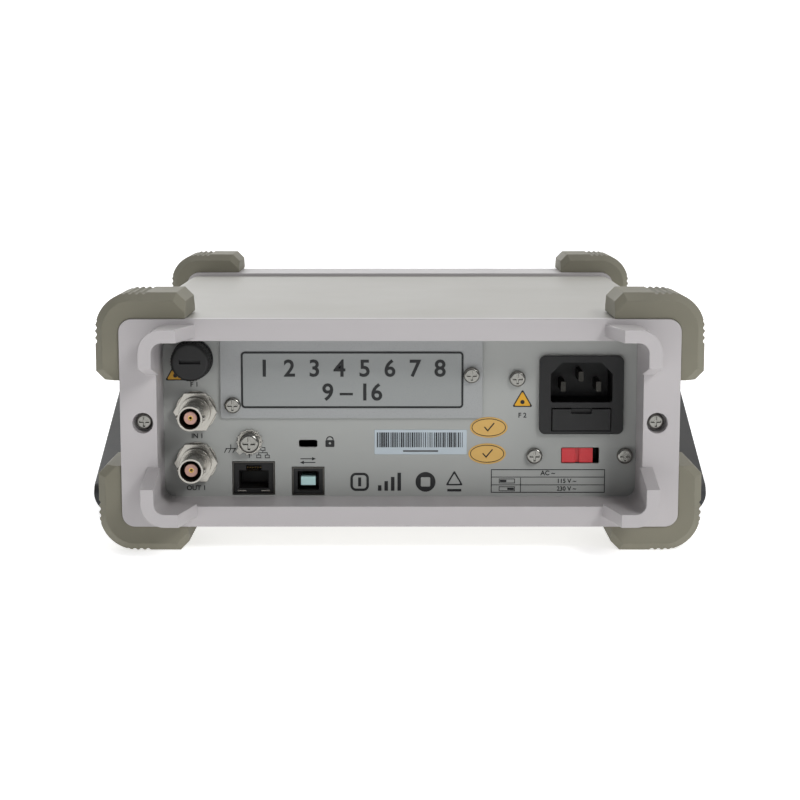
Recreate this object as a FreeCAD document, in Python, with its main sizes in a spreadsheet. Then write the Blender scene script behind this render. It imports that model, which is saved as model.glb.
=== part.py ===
"""Half-rack bench instrument with a recessed rear panel, rubber corner bumpers and a swinging carry handle.

Frame: +Z up, the front faces -Y, the rear panel faces +Y, the origin is the middle of the footprint.
Millimetres throughout. Every size is a cell of the sheet; pieces are bound to those cells.
"""
import FreeCAD, Part
import math
import os
from types import SimpleNamespace

import Sketcher
from FreeCAD import Vector

# alias, millimetres, what it is
SIZES = (
    ("body_width", 216, "rear frame and front bezel, side to side"),
    ("body_height", 81, "rear frame, bottom to top"),
    ("body_depth", 275, "rear frame face to the front bumpers' face"),
    ("corner_radius", 5, "outer corners of the frame, cover and bezel"),
    ("cover_inset", 0.4, "cover below the frame's surface"),
    ("cover_wall", 1.2, "sheet of the cover sleeve"),
    ("seam", 0.4, "gap where two shells meet"),
    ("hug", 0.1, "bumpers and pivot bosses off the shell that they grip"),
    ("fit_gap", 0.3, "clearance between parts that slide together"),
    ("frame_rim", 6, "depth of the rear frame's outer rim"),
    ("frame_side", 14.2, "rear frame band at each side"),
    ("frame_top", 8.4, "rear frame band at the top"),
    ("frame_bottom", 8, "rear frame band at the bottom"),
    ("frame_wall", 2.6, "wall round the recess"),
    ("recess_radius", 4, "corners of the recess"),
    ("panel_recess", 21, "rear panel behind the frame face"),
    ("panel_sheet", 1.5, "rear panel thickness"),
    ("hook_reach", 21, "cord hooks beyond the frame face"),
    ("hook_arm", 5, "thickness of a hook"),
    ("hook_inset", 10.1, "hook's outer side from the frame's side"),
    ("hook_drop", 2, "hook's outer side from the frame's top or bottom"),
    ("hook_across", 19.1, "hook along the top or bottom, at its root"),
    ("hook_along", 19.4, "hook along the side, at its root"),
    ("hook_taper", 4.8, "how much shorter each hook leg is at its tip"),
    ("hook_corner", 9, "outer corner of a hook"),
    ("frame_screw_inset", 8.7, "captive screws from the frame's sides"),
    ("frame_screw_height", 40.75, "captive screws above the frame's bottom"),
    ("frame_screw_well", 4, "radius of the captive screws' wells"),
    ("frame_screw_seat", 6, "captive screws' seats behind the frame face"),
    ("frame_screw_length", 19, "captive screws under their heads"),
    ("bezel_depth", 38, "front bezel, front to rear"),
    ("bezel_setback", 5, "bezel's front behind the bumpers' face"),
    ("bezel_lip", 1, "bezel above the cover's top"),
    ("bezel_wall", 2.4, "bezel side walls"),
    ("bezel_plate", 3, "bezel front plate"),
    ("bumper_side", 9.5, "bumper thickness at the sides"),
    ("bumper_rise", 10, "bumper thickness at the top and bottom"),
    ("bumper_depth", 35, "bumper, front to rear"),
    ("bumper_start", 1, "rear bumpers behind the frame face"),
    ("bumper_across", 25.5, "bumper leg along the top or bottom, from the frame's side"),
    ("bumper_along", 23.8, "bumper leg along the side, from the frame's top or bottom"),
    ("bumper_chamfer", 3.4, "bevels of a bumper"),
    ("groove_radius", 0.9, "grip grooves of a bumper"),
    ("groove_pitch", 2.6, "spacing of the grip grooves"),
    ("handle_gap", 1, "handle arm outside the bumpers"),
    ("handle_arm", 11.5, "thickness of a handle arm"),
    ("handle_strap", 18, "width of the handle's strap"),
    ("handle_bar", 7.5, "thickness of the handle's grip bar"),
    ("handle_lift", 1.5, "stowed grip bar above the table"),
    ("handle_corner", 9, "outer corners of the handle"),
    ("pivot_forward", 185, "handle pivot from the frame face"),
    ("pivot_height", 40, "handle pivot above the body's bottom"),
    ("pivot_to_bar", 110, "pivot to grip bar, along the body"),
    ("handle_skin", 2.5, "handle's outer wall over its axle bore"),
    ("hub_radius", 15, "handle's round ends"),
    ("axle_radius", 7, "handle's axle stubs"),
    ("axle_gap", 0.06, "running clearance round an axle stub"),
    ("option_left", 71.2, "option plate's outer side from the middle"),
    ("option_right", 32.7, "option plate's inner side from the middle"),
    ("option_bottom", 39.6, "option plate above the body's bottom"),
    ("option_top", 72, "option plate's top above the body's bottom"),
    ("option_sheet", 1.2, "option plate thickness"),
    ("option_lap", 6, "how far the option plate covers its opening's edge"),
    ("option_screw_left", 66.25, "option plate's left screw from the middle"),
    ("option_screw_low", 45, "option plate's left screw above the body's bottom"),
    ("option_screw_right", 28.3, "option plate's right screw from the middle"),
    ("option_screw_high", 57, "option plate's right screw above the body's bottom"),
    ("bnc_x", 81, "signal sockets from the middle"),
    ("bnc_low", 22, "lower signal socket above the body's bottom"),
    ("bnc_high", 42.5, "upper signal socket above the body's bottom"),
    ("bnc_shell", 4.85, "signal socket barrel radius"),
    ("bnc_reach", 22, "signal socket beyond the panel"),
    ("bnc_nut", 15, "signal socket nut across flats"),
    ("bnc_nut_depth", 2.8, "signal socket nut thickness"),
    ("bnc_washer", 1, "signal socket washer thickness"),
    ("bnc_lug", 1, "signal socket's bayonet lugs, radius and rise"),
    ("bnc_mouth", 2, "signal socket's insulator behind its barrel's end"),
    ("bnc_wall", 0.75, "signal socket barrel wall"),
    ("fuse_x", 82, "current fuse from the middle"),
    ("fuse_z", 63.2, "current fuse above the body's bottom"),
    ("fuse_bore", 5, "current fuse holder's bore radius"),
    ("fuse_cap_radius", 7.5, "current fuse cap radius"),
    ("fuse_cap_length", 9, "current fuse cap beyond its collar"),
    ("fuse_holder_length", 44, "current fuse holder behind the panel"),
    ("fuse_slot_depth", 1.8, "coin slot of the current fuse cap"),
    ("fuse_slot_width", 1.4, "coin slot of the current fuse cap"),
    ("ground_x", 59.8, "ground screw from the middle"),
    ("ground_z", 30, "ground screw above the body's bottom"),
    ("ground_head", 4, "ground screw head radius"),
    ("ground_length", 9, "ground screw under its head"),
    ("ground_thread", 2, "ground screw thread radius"),
    ("lug_radius", 4.8, "ground lug"),
    ("lug_sheet", 0.8, "ground lug thickness"),
    ("washer_radius", 4.3, "ground washer"),
    ("washer_sheet", 1.1, "ground washer thickness"),
    ("lan_x", 58.4, "network socket from the middle"),
    ("lan_z", 15.35, "network socket above the body's bottom"),
    ("lan_width", 16.6, "network socket shield"),
    ("lan_height", 13.2, "network socket shield"),
    ("plug_width", 11.7, "network plug's opening"),
    ("plug_height", 7.2, "network plug's opening"),
    ("plug_depth", 12.5, "network plug's opening"),
    ("latch_width", 6, "network plug's latch notch"),
    ("latch_height", 2.6, "network plug's latch notch"),
    ("lan_wall", 0.4, "network socket shield's sheet"),
    ("usb_x", 36.65, "square data socket from the middle"),
    ("usb_z", 14.15, "square data socket above the body's bottom"),
    ("usb_width", 12.6, "square data socket shell"),
    ("usb_height", 11.2, "square data socket shell"),
    ("usb_wall", 0.5, "square data socket shell's sheet"),
    ("usb_mouth_width", 8.6, "square data socket's opening"),
    ("usb_mouth_height", 7.9, "square data socket's opening"),
    ("usb_mouth_depth", 11, "square data socket's opening"),
    ("usb_tongue_width", 5.6, "square data socket's tongue"),
    ("usb_tongue_height", 3.2, "square data socket's tongue"),
    ("port_depth", 18, "network and data sockets behind the panel"),
    ("port_proud", 0.3, "network and data sockets beyond the panel"),
    ("port_inset", 0.8, "sockets' mouldings behind their shells' ends"),
    ("lock_x", 36.6, "lock slot from the middle"),
    ("lock_z", 29.3, "lock slot above the body's bottom"),
    ("lock_width", 7.4, "lock slot, long way"),
    ("lock_height", 3, "lock slot, short way"),
    ("inlet_x", 71.85, "mains inlet from the middle"),
    ("inlet_bottom", 33.35, "mains inlet flange above the body's bottom"),
    ("inlet_width", 33.3, "mains inlet flange"),
    ("inlet_height", 31.2, "mains inlet flange"),
    ("inlet_flange", 2, "mains inlet flange thickness"),
    ("inlet_depth", 24, "mains inlet behind the panel"),
    ("inlet_lap", 2.6, "mains inlet flange over the panel's edge"),
    ("socket_width", 24.4, "mains socket cavity"),
    ("socket_height", 15.8, "mains socket cavity"),
    ("socket_depth", 17, "mains socket cavity, from the flange face"),
    ("pin_pitch", 7, "outer mains pins from the middle one"),
    ("pin_width", 2, "mains pin"),
    ("pin_height", 4, "mains pin"),
    ("pin_rise", 2, "mains pins above or below the socket's middle"),
    ("pin_inset", 3, "mains pin tips behind the flange"),
    ("drawer_width", 23, "mains fuse drawer"),
    ("drawer_height", 8.6, "mains fuse drawer"),
    ("drawer_depth", 20, "mains fuse drawer"),
    ("drawer_proud", 0.8, "mains fuse drawer beyond the flange"),
    ("finger_width", 8, "finger notch of the drawer"),
    ("finger_height", 1.8, "finger notch of the drawer"),
    ("finger_depth", 1.6, "finger notch of the drawer"),
    ("mains_fuse_length", 20, "mains fuse"),
    ("mains_fuse_cap", 5, "mains fuse's end caps"),
    ("selector_x", 71.75, "voltage selector opening from the middle"),
    ("selector_z", 24.5, "voltage selector above the body's bottom"),
    ("selector_width", 15.2, "voltage selector opening"),
    ("selector_height", 6.45, "voltage selector opening"),
    ("slider_width", 12.4, "voltage selector slider"),
    ("slider_depth", 9.8, "voltage selector slider"),
    ("slider_inset", 0.6, "slider behind the panel's face"),
    ("slider_slot_depth", 1.2, "slider's driver slot"),
    ("slider_slot_width", 1.6, "slider's driver slot"),
    ("selector_well", 9.4, "voltage selector body's recess"),
    ("selector_depth", 12, "voltage selector body"),
    ("screw_radius", 1.5, "machine screw thread"),
    ("screw_head", 3.2, "machine screw head"),
    ("screw_length", 6, "machine screw under its head"),
    ("panel_screw_x", 46.5, "upper panel screw from the middle"),
    ("panel_screw_z", 55.5, "upper panel screw above the body's bottom"),
    ("selector_screw_x", 53.5, "panel screw beside the voltage selector, from the middle"),
    ("selector_screw_z", 24.5, "panel screws beside the voltage selector, above the body's bottom"),
    ("edge_screw_inset", 4.3, "outer panel screw from the recess's side"),
    ("tray_sheet", 1.2, "chassis tray sheet"),
    ("tray_side", 48, "chassis tray sides, bottom to top"),
    ("board_sheet", 1.6, "circuit boards"),
    ("board_stand", 3.8, "main board above the tray"),
    ("window_width", 112, "display window"),
    ("window_height", 40, "display window"),
    ("window_x", -40, "display window middle, from the middle of the front"),
    ("window_z", 53.5, "display window middle above the body's bottom"),
    ("window_sheet", 1.5, "display window thickness"),
    ("window_ledge", 2, "ledge round the display window"),
    ("key_travel", 1.2, "how far a key presses in"),
    ("key_proud", 2, "keys beyond the bezel"),
    ("key_gap", 0.4, "clearance round a key"),
    ("key_flange", 1, "keys' retaining flange"),
    ("key_edge", 0.7, "keys' rounded edges"),
    ("key_corner", 1.2, "keys' corners"),
    ("key_stem", 3, "keys' stems, each way"),
    ("soft_key_width", 16, "keys under the display"),
    ("soft_key_height", 6.5, "keys under the display"),
    ("soft_key_pitch", 21.5, "keys under the display"),
    ("soft_key_z", 25.5, "keys under the display, above the body's bottom"),
    ("function_key_width", 17, "keys beside the display"),
    ("function_key_height", 9, "keys beside the display"),
    ("function_key_x", 34.5, "first column of keys beside the display"),
    ("function_key_z", 66, "top row of keys beside the display"),
    ("function_column", 21, "columns of keys beside the display"),
    ("function_row", 17, "rows of keys beside the display"),
    ("power_key_x", -92, "power key"),
    ("power_key_z", 11.5, "power key above the body's bottom"),
    ("power_key_side", 11, "power key, square"),
    ("jack_x", 77, "first column of test sockets"),
    ("jack_z", 66, "top row of test sockets"),
    ("jack_pitch", 19.05, "spacing of the test sockets"),
    ("jack_sleeve", 6.2, "test socket collar radius"),
    ("jack_throat", 5, "test socket collar's bore radius"),
    ("jack_bore", 2, "test socket contact's bore radius"),
    ("jack_proud", 2.5, "test socket beyond the bezel"),
    ("jack_length", 20, "test socket behind its collar's end"),
    ("host_x", -70, "front data socket"),
    ("host_z", 11.5, "front data socket above the body's bottom"),
    ("host_width", 13.4, "front data socket"),
    ("host_height", 6.2, "front data socket"),
    ("host_tongue", 1.6, "front data socket's tongue"),
    ("transformer_height", 44, "transformer core"),
    ("bobbin_height", 28, "transformer bobbin"),
)

DOC = FreeCAD.newDocument("bench_instrument")
SHEET = DOC.addObject("Spreadsheet::Sheet", "Sheet")


class Size:
    """A length that carries its number and the sheet formula that gives it."""

    def __init__(self, number, formula):
        self.number = float(number)
        self.formula = formula

    def __add__(self, other):
        other = as_size(other)
        return Size(self.number + other.number, f"({self.formula} + {other.formula})")

    def __sub__(self, other):
        other = as_size(other)
        return Size(self.number - other.number, f"({self.formula} - {other.formula})")

    def __mul__(self, factor):
        return Size(self.number * factor, f"({self.formula} * ({factor}))")

    def __truediv__(self, divisor):
        return Size(self.number / divisor, f"({self.formula} / {divisor})")

    def __neg__(self):
        return Size(-self.number, f"(0 - {self.formula})")

    def __radd__(self, other):
        return as_size(other) + self

    def __rsub__(self, other):
        return as_size(other) - self

    __rmul__ = __mul__


def as_size(value):
    """A plain number as a Size, and a Size as it is."""
    if isinstance(value, Size):
        return value
    return Size(value, f"({float(value)})")


def fill_sheet():
    """Writes every driving dimension to the sheet and returns them by name."""
    named = {}
    for row, (alias, number, meaning) in enumerate(SIZES, start=1):
        SHEET.set(f"A{row}", alias)
        SHEET.set(f"B{row}", str(number))
        SHEET.setAlias(f"B{row}", alias)
        SHEET.set(f"C{row}", meaning)
        named[alias] = Size(number, f"Sheet.{alias}")
    DOC.recompute()
    return SimpleNamespace(**named)


D = fill_sheet()

# Places that several pieces share
HALF = D.body_width / 2
FLOOR = as_size(0)
BOTTOM = D.bumper_rise
TOP = BOTTOM + D.body_height
REAR = (D.body_depth - D.hook_reach) / 2
FRONT = REAR - D.body_depth
PANEL = REAR - D.panel_recess
PANEL_BACK = PANEL - D.panel_sheet
BEZEL_FRONT = FRONT + D.bezel_setback
BEZEL_BACK = BEZEL_FRONT + D.bezel_depth
BEZEL_TOP = TOP + D.bezel_lip
COVER_SIDE = HALF - D.cover_inset
COVER_REAR = REAR - D.frame_rim - D.seam
INSIDE = COVER_SIDE - D.cover_wall - D.fit_gap
INSIDE_BOTTOM = BOTTOM + D.cover_inset + D.cover_wall + D.fit_gap
INSIDE_TOP = TOP - D.cover_inset - D.cover_wall - D.fit_gap
TRAY_TOP = INSIDE_BOTTOM + D.tray_sheet
PIVOT_Y = REAR - D.pivot_forward
PIVOT_Z = BOTTOM + D.pivot_height
ARM_INNER = HALF + D.bumper_side + D.handle_gap
ARM_OUTER = ARM_INNER + D.handle_arm

PIECES = []
CUTS = []
SENSE = {"XZ": -1, "YZ": 1, "XY": 1}


def bind(thing, path, value):
    """Sets a property and ties it to its formula."""
    thing.setExpression(path, as_size(value).formula)


def box_outline(x_low, x_high, z_low, z_high, radius=0):
    """A rectangle with equal round corners."""
    return [
        (x_low, z_low, radius), (x_high, z_low, radius),
        (x_high, z_high, radius), (x_low, z_high, radius),
    ]


def centred(x, z, width, height, radius=0):
    """A rectangle by its middle."""
    return box_outline(x - width / 2, x + width / 2, z - height / 2, z + height / 2, radius)


def point_ties(geometry, vertex, x, z):
    """What ties a point of a sketch to its two coordinates."""
    ties = []
    for kind, value in (("DistanceX", as_size(x)), ("DistanceY", as_size(z))):
        ties.append((Sketcher.Constraint(kind, -1, 1, geometry, vertex, value.number), value.formula))
    return ties


def draw_circle(sketch, x, z, radius):
    """A circle and what ties its middle and radius."""
    x, z, radius = as_size(x), as_size(z), as_size(radius)
    circle = Part.Circle(Vector(x.number, z.number, 0), Vector(0, 0, 1), radius.number)
    geometry = sketch.addGeometry(circle, False)
    ties = point_ties(geometry, 3, x, z)
    ties.append((Sketcher.Constraint("Radius", geometry, radius.number), radius.formula))
    return ties


def corner_arc(point, before, after, radius):
    """Where a round corner starts, ends and has its middle, and whether it turns left."""
    turn = before.getAngle(after)
    cut = radius * math.tan(turn / 2)
    entry = point - before * cut
    leave = point + after * cut
    left = before.cross(after).z > 0
    side = Vector(-before.y, before.x, 0) if left else Vector(before.y, -before.x, 0)
    return entry, leave, entry + side * radius, left


def draw_outline(sketch, corners):
    """A closed outline of straight runs with round corners where a radius is given, and its ties."""
    points = [Vector(as_size(x).number, as_size(z).number, 0) for x, z, _ in corners]
    radii = [as_size(radius) for _, _, radius in corners]
    count = len(points)
    rounds = []
    for i in range(count):
        before = (points[i] - points[i - 1]).normalize()
        after = (points[(i + 1) % count] - points[i]).normalize()
        rounds.append(corner_arc(points[i], before, after, radii[i].number))
    lines = []
    for i in range(count):
        run = Part.LineSegment(rounds[i][1], rounds[(i + 1) % count][0])
        lines.append(sketch.addGeometry(run, False))
    ties = []
    for i, (x, z, _) in enumerate(corners):
        if radii[i].number == 0:
            ties.append((Sketcher.Constraint("Coincident", lines[i - 1], 2, lines[i], 1), None))
            ties += point_ties(lines[i], 1, x, z)
        else:
            ties += draw_corner(sketch, rounds[i], radii[i], points[i], (lines[i - 1], lines[i]), (x, z))
    return ties


def draw_corner(sketch, measured, radius, point, runs, place):
    """One round corner: an arc tangent to both runs, whose lines meet at a tied point."""
    entry, leave, middle, left = measured
    first, last = (entry, leave) if left else (leave, entry)
    angles = [math.atan2(end.y - middle.y, end.x - middle.x) for end in (first, last)]
    circle = Part.Circle(middle, Vector(0, 0, 1), radius.number)
    arc = sketch.addGeometry(Part.ArcOfCircle(circle, angles[0], angles[1]), False)
    mark = sketch.addGeometry(Part.Point(point), True)
    into, out = (1, 2) if left else (2, 1)
    ties = [
        (Sketcher.Constraint("Tangent", runs[0], 2, arc, into), None),
        (Sketcher.Constraint("Tangent", arc, out, runs[1], 1), None),
        (Sketcher.Constraint("Radius", arc, radius.number), radius.formula),
    ]
    ties += point_ties(mark, 1, *place)
    ties += [(Sketcher.Constraint("PointOnObject", mark, 1, run), None) for run in runs]
    return ties


class Piece:
    """One PartDesign body, made of pads, turned profiles and pockets on its own origin planes.

    Features on XZ run from their plane towards -Y, those on YZ towards +X and those on XY towards +Z.
    """

    def __init__(self, label, kept=True):
        self.body = DOC.addObject("PartDesign::Body", label)
        self.body.Label = label
        self.body.AllowCompound = True
        if kept:
            PIECES.append(self.body)

    def sketch(self, plane, at, shapes, rise=0):
        """A sketch of outlines (lists of corners) and circles (x, z, radius) on a plane moved to at."""
        sketch = self.body.newObject("Sketcher::SketchObject", f"{self.body.Label}_sketch")
        plane_object = next(f for f in self.body.Origin.OriginFeatures if f.Role == f"{plane}_Plane")
        sketch.AttachmentSupport = [(plane_object, "")]
        sketch.MapMode = "FlatFace"
        bind(sketch, "AttachmentOffset.Base.z", as_size(at) * SENSE[plane])
        bind(sketch, "AttachmentOffset.Base.y", rise)
        ties = []
        for shape in shapes:
            ties += draw_circle(sketch, *shape) if isinstance(shape, tuple) else draw_outline(sketch, shape)
        sketch.addConstraint([constraint for constraint, _ in ties])
        for index, (_, formula) in enumerate(ties):
            if formula:
                sketch.setExpression(f"Constraints[{index}]", formula)
        return sketch

    def feature(self, kind, sketch, name):
        """A PartDesign feature on a sketch."""
        feature = self.body.newObject(f"PartDesign::{kind}", f"{self.body.Label}_{name}")
        feature.Profile = sketch
        sketch.Visibility = False
        return feature

    def pad(self, plane, at, length, *shapes):
        """Adds a prism."""
        pad = self.feature("Pad", self.sketch(plane, at, shapes), "pad")
        bind(pad, "Length", length)
        return self

    def pocket(self, plane, at, length, *shapes):
        """Cuts a prism."""
        pocket = self.feature("Pocket", self.sketch(plane, at, shapes), "pocket")
        pocket.Reversed = True
        bind(pocket, "Length", length)
        CUTS.append(pocket)
        return self

    def turn(self, x, z, profile, kind="Revolution"):
        """Adds or cuts a turned profile of (y, radius, rounding) corners about an axis along Y."""
        sketch = self.sketch("YZ", x, [profile], rise=z)
        turned = self.feature(kind, sketch, "turned")
        turned.ReferenceAxis = (sketch, ["H_Axis"])
        turned.Angle = 360
        return self

    def soften(self, kind, size, wanted):
        """Rounds or chamfers the edges that a test picks."""
        DOC.recompute([self.body, *self.body.Group])
        tip = self.body.Tip
        names = [f"Edge{i}" for i, edge in enumerate(tip.Shape.Edges, start=1) if wanted(edge)]
        if not names:
            raise RuntimeError(f"{self.body.Label}: no edge to soften")
        softened = self.body.newObject(f"PartDesign::{kind}", f"{self.body.Label}_{kind.lower()}")
        softened.Base = (tip, names)
        bind(softened, "Radius" if kind == "Fillet" else "Size", size)
        return self


def make_cover_sleeve():
    """The folded sleeve that slides over the chassis from the rear."""
    wall = D.cover_wall
    inner = D.corner_radius - wall
    low, high = BOTTOM + D.cover_inset, TOP - D.cover_inset
    Piece("cover_sleeve").pad(
        "XZ", COVER_REAR, COVER_REAR - BEZEL_BACK - D.seam,
        box_outline(-COVER_SIDE, COVER_SIDE, low, high, D.corner_radius),
        box_outline(-COVER_SIDE + wall, COVER_SIDE - wall, low + wall, high - wall, inner),
    )


def recess_outline(grow=0):
    """The rear recess, or its outer wall when grown."""
    return box_outline(
        -HALF + D.frame_side - grow, HALF - D.frame_side + grow,
        BOTTOM + D.frame_bottom - grow, TOP - D.frame_top + grow, D.recess_radius,
    )


def hook_outline(side, upper, taper):
    """One L-shaped cord hook; side is -1 or 1, and taper shortens both legs."""
    x_out = (HALF - D.hook_inset) * side
    x_in = (HALF - D.hook_inset - D.hook_arm) * side
    x_end = (HALF - D.hook_inset - D.hook_across + taper) * side
    if upper:
        z_out, z_in = TOP - D.hook_drop, TOP - D.hook_drop - D.hook_arm
        z_end = TOP - D.hook_drop - D.hook_along + taper
    else:
        z_out, z_in = BOTTOM + D.hook_drop * 2, BOTTOM + D.hook_drop * 2 + D.hook_arm
        z_end = BOTTOM + D.hook_drop * 2 + D.hook_along - taper
    corner = D.hook_corner
    return [
        (x_out, z_end, 0), (x_out, z_out, corner), (x_end, z_out, 0),
        (x_end, z_in, 0), (x_in, z_in, corner - D.hook_arm), (x_in, z_end, 0),
    ]


def make_rear_frame():
    """The moulded rear frame: a rim, the wall of the recess, two screw bosses and four cord hooks."""
    frame = Piece("rear_frame")
    rim = box_outline(-HALF, HALF, BOTTOM, TOP, D.corner_radius)
    frame.pad("XZ", REAR, D.frame_rim, rim, recess_outline())
    deep = D.panel_recess - D.frame_rim
    frame.pad("XZ", REAR - D.frame_rim, deep, recess_outline(D.frame_wall), recess_outline())
    for side in (-1, 1):
        boss = ((HALF - D.frame_screw_inset) * side, BOTTOM + D.frame_screw_height)
        frame.pad("XZ", REAR - D.frame_rim, deep, (*boss, D.frame_screw_well + 1.5))
    wells = [((HALF - D.frame_screw_inset) * side, BOTTOM + D.frame_screw_height) for side in (-1, 1)]
    frame.pocket("XZ", REAR, D.frame_screw_seat, *[(*well, D.frame_screw_well) for well in wells])
    frame.pocket("XZ", REAR, D.panel_recess, *[(*well, D.screw_radius + D.fit_gap) for well in wells])
    for side in (-1, 1):
        for upper in (False, True):
            add_hook(frame, side, upper)


def add_hook(frame, side, upper):
    """Lofts one hook from the frame face out to its tip."""
    root = frame.sketch("XZ", REAR, [hook_outline(side, upper, 0)])
    tip = frame.sketch("XZ", REAR + D.hook_reach, [hook_outline(side, upper, D.hook_taper)])
    hook = frame.feature("AdditiveLoft", root, "hook")
    hook.Sections = [tip]
    hook.Ruled = True
    tip.Visibility = False


def bumper_outline(side, upper, body_top):
    """One corner bumper, an L round the body's corner."""
    outer = (HALF + D.bumper_side) * side
    inner = (HALF + D.hug) * side
    end = (HALF - D.bumper_across) * side
    if upper:
        z_out, z_in, z_end = TOP + D.bumper_rise, body_top + D.hug, TOP - D.bumper_along
    else:
        z_out, z_in, z_end = FLOOR, BOTTOM - D.hug, BOTTOM + D.bumper_along
    bevel = D.bumper_chamfer
    x_bevel = (HALF + D.bumper_side) * side - bevel * side
    z_bevel = z_end + bevel if upper else z_end - bevel
    x_cut = end + bevel * side
    z_cut = z_out - bevel if upper else z_out + bevel
    return [
        (x_bevel, z_end, 0), (outer, z_bevel, 0), (outer, z_out, D.corner_radius + D.bumper_side),
        (x_cut, z_out, 0), (end, z_cut, 0), (end, z_in, 0),
        (inner, z_in, D.corner_radius), (inner, z_end, 0),
    ]


def make_bumper(end_name, back, body_top, side, upper):
    """One rubber corner bumper with bevelled outer edges and grip grooves."""
    names = (end_name, "bumper", "upper" if upper else "lower", "right" if side > 0 else "left")
    bumper = Piece("_".join(names))
    bumper.pad("XZ", back, D.bumper_depth, bumper_outline(side, upper, body_top))
    ends = (back.number, (back - D.bumper_depth).number)
    reach = (HALF + D.bumper_side / 2).number
    heights = ((BOTTOM / 2).number, (TOP + D.bumper_rise / 2).number)

    def outer_edge(edge):
        middle = edge.BoundBox.Center
        flat = min(abs(middle.y - end) for end in ends) < 0.01 and edge.BoundBox.YLength < 0.01
        outside = abs(middle.x) > reach or middle.z > heights[1] or middle.z < heights[0]
        return flat and outside

    bumper.soften("Chamfer", D.bumper_chamfer - 0.4, outer_edge)
    grooves = []
    for step in range(4):
        shift = D.groove_pitch * (step + 0.5) + D.corner_radius + D.bumper_side / 2
        height = TOP + D.bumper_rise - shift if upper else shift
        grooves.append(((HALF + D.bumper_side + 0.2) * side, height, D.groove_radius))
        level = TOP + D.bumper_rise + 0.2 if upper else FLOOR - 0.2
        grooves.append(((HALF + D.bumper_side - shift) * side, level, D.groove_radius))
    bumper.pocket("XZ", back, D.bumper_depth, *grooves)


def make_bumpers():
    """Eight bumpers: four at the rear frame, four at the front bezel."""
    for side in (-1, 1):
        for upper in (False, True):
            make_bumper("rear", REAR - D.bumper_start, TOP, side, upper)
            make_bumper("front", FRONT + D.bumper_depth, BEZEL_TOP, side, upper)


def make_carry_handle():
    """The handle: two straps joined by a grip bar, stowed under the body."""
    raw = Piece("handle_blank", kept=False)
    bar_y = PIVOT_Y + D.pivot_to_bar
    bar_low = D.handle_lift
    half_strap = D.handle_strap / 2
    strap = [
        (PIVOT_Y - D.handle_strap * 0.35, PIVOT_Z - D.handle_strap * 0.4, 0),
        (bar_y - half_strap, bar_low, 4), (bar_y + half_strap, bar_low, 3),
        (bar_y + half_strap, bar_low + D.handle_bar + 4, 5),
        (PIVOT_Y + D.handle_strap * 0.35, PIVOT_Z + D.handle_strap * 0.5, 0),
    ]
    for side in (-1, 1):
        start = ARM_INNER if side > 0 else -ARM_OUTER
        raw.pad("YZ", start, D.handle_arm, strap)
        raw.pad("YZ", start, D.handle_arm, (PIVOT_Y, PIVOT_Z, D.hub_radius))
    bar = box_outline(bar_y - half_strap, bar_y + half_strap, bar_low, bar_low + D.handle_bar, 3)
    raw.pad("YZ", -ARM_OUTER, ARM_OUTER * 2, bar)
    blind = ARM_OUTER - D.handle_skin
    raw.pocket("YZ", -blind, blind * 2, (PIVOT_Y, PIVOT_Z, D.axle_radius + D.axle_gap))
    mould = Piece("handle_mould", kept=False)
    mould.pad(
        "XZ", REAR, D.body_depth,
        box_outline(-ARM_OUTER, ARM_OUTER, D.handle_lift, TOP, D.handle_corner),
    )
    combine("Common", "carry_handle", raw.body, mould.body)


def combine(kind, label, base, tool, kept=True):
    """A Part boolean of two objects."""
    result = DOC.addObject(f"Part::{kind}", label)
    result.Label = label
    result.Base = base
    result.Tool = tool
    if kept:
        PIECES.append(result)
    return result


def make_handle_pivots():
    """The two axle bosses that carry the handle, each with a flange outside its arm."""
    pivots = Piece("handle_pivots")
    seat = COVER_SIDE + D.hug
    tip = ARM_OUTER - D.handle_skin - D.fit_gap
    for side in (-1, 1):
        root = seat if side > 0 else D.fit_gap - ARM_INNER
        pivots.pad("YZ", root, ARM_INNER - D.fit_gap - seat, (PIVOT_Y, PIVOT_Z, D.hub_radius + 1))
        start = seat if side > 0 else -tip
        pivots.pad("YZ", start, tip - seat, (PIVOT_Y, PIVOT_Z, D.axle_radius))


BNC_HEIGHTS = (BOTTOM + D.bnc_low, BOTTOM + D.bnc_high)
OPTION_LEFT, OPTION_RIGHT = D.option_left, -D.option_right
OPTION_LOW, OPTION_HIGH = BOTTOM + D.option_bottom, BOTTOM + D.option_top
INLET_X = -D.inlet_x
INLET_LOW = BOTTOM + D.inlet_bottom
INLET_MIDDLE = INLET_LOW + D.inlet_height / 2
SOCKET_LOW = INLET_LOW + D.inlet_height - 2.6 - D.socket_height
DRAWER_LOW = INLET_LOW + 1.6
OPTION_SCREWS = (
    (D.option_screw_left, BOTTOM + D.option_screw_low),
    (-D.option_screw_right, BOTTOM + D.option_screw_high),
)
FRAME_SCREWS = tuple(((HALF - D.frame_screw_inset) * side, BOTTOM + D.frame_screw_height) for side in (-1, 1))
PANEL_SCREWS = (
    (-D.panel_screw_x, BOTTOM + D.panel_screw_z),
    (-D.selector_screw_x, BOTTOM + D.selector_screw_z),
    (-HALF + D.frame_side + D.edge_screw_inset, BOTTOM + D.selector_screw_z),
)


def port_outline(x, z, width, height, grow):
    """A port's outline on the panel, grown by a clearance."""
    return centred(x, z, width + grow * 2, height + grow * 2)


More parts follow.
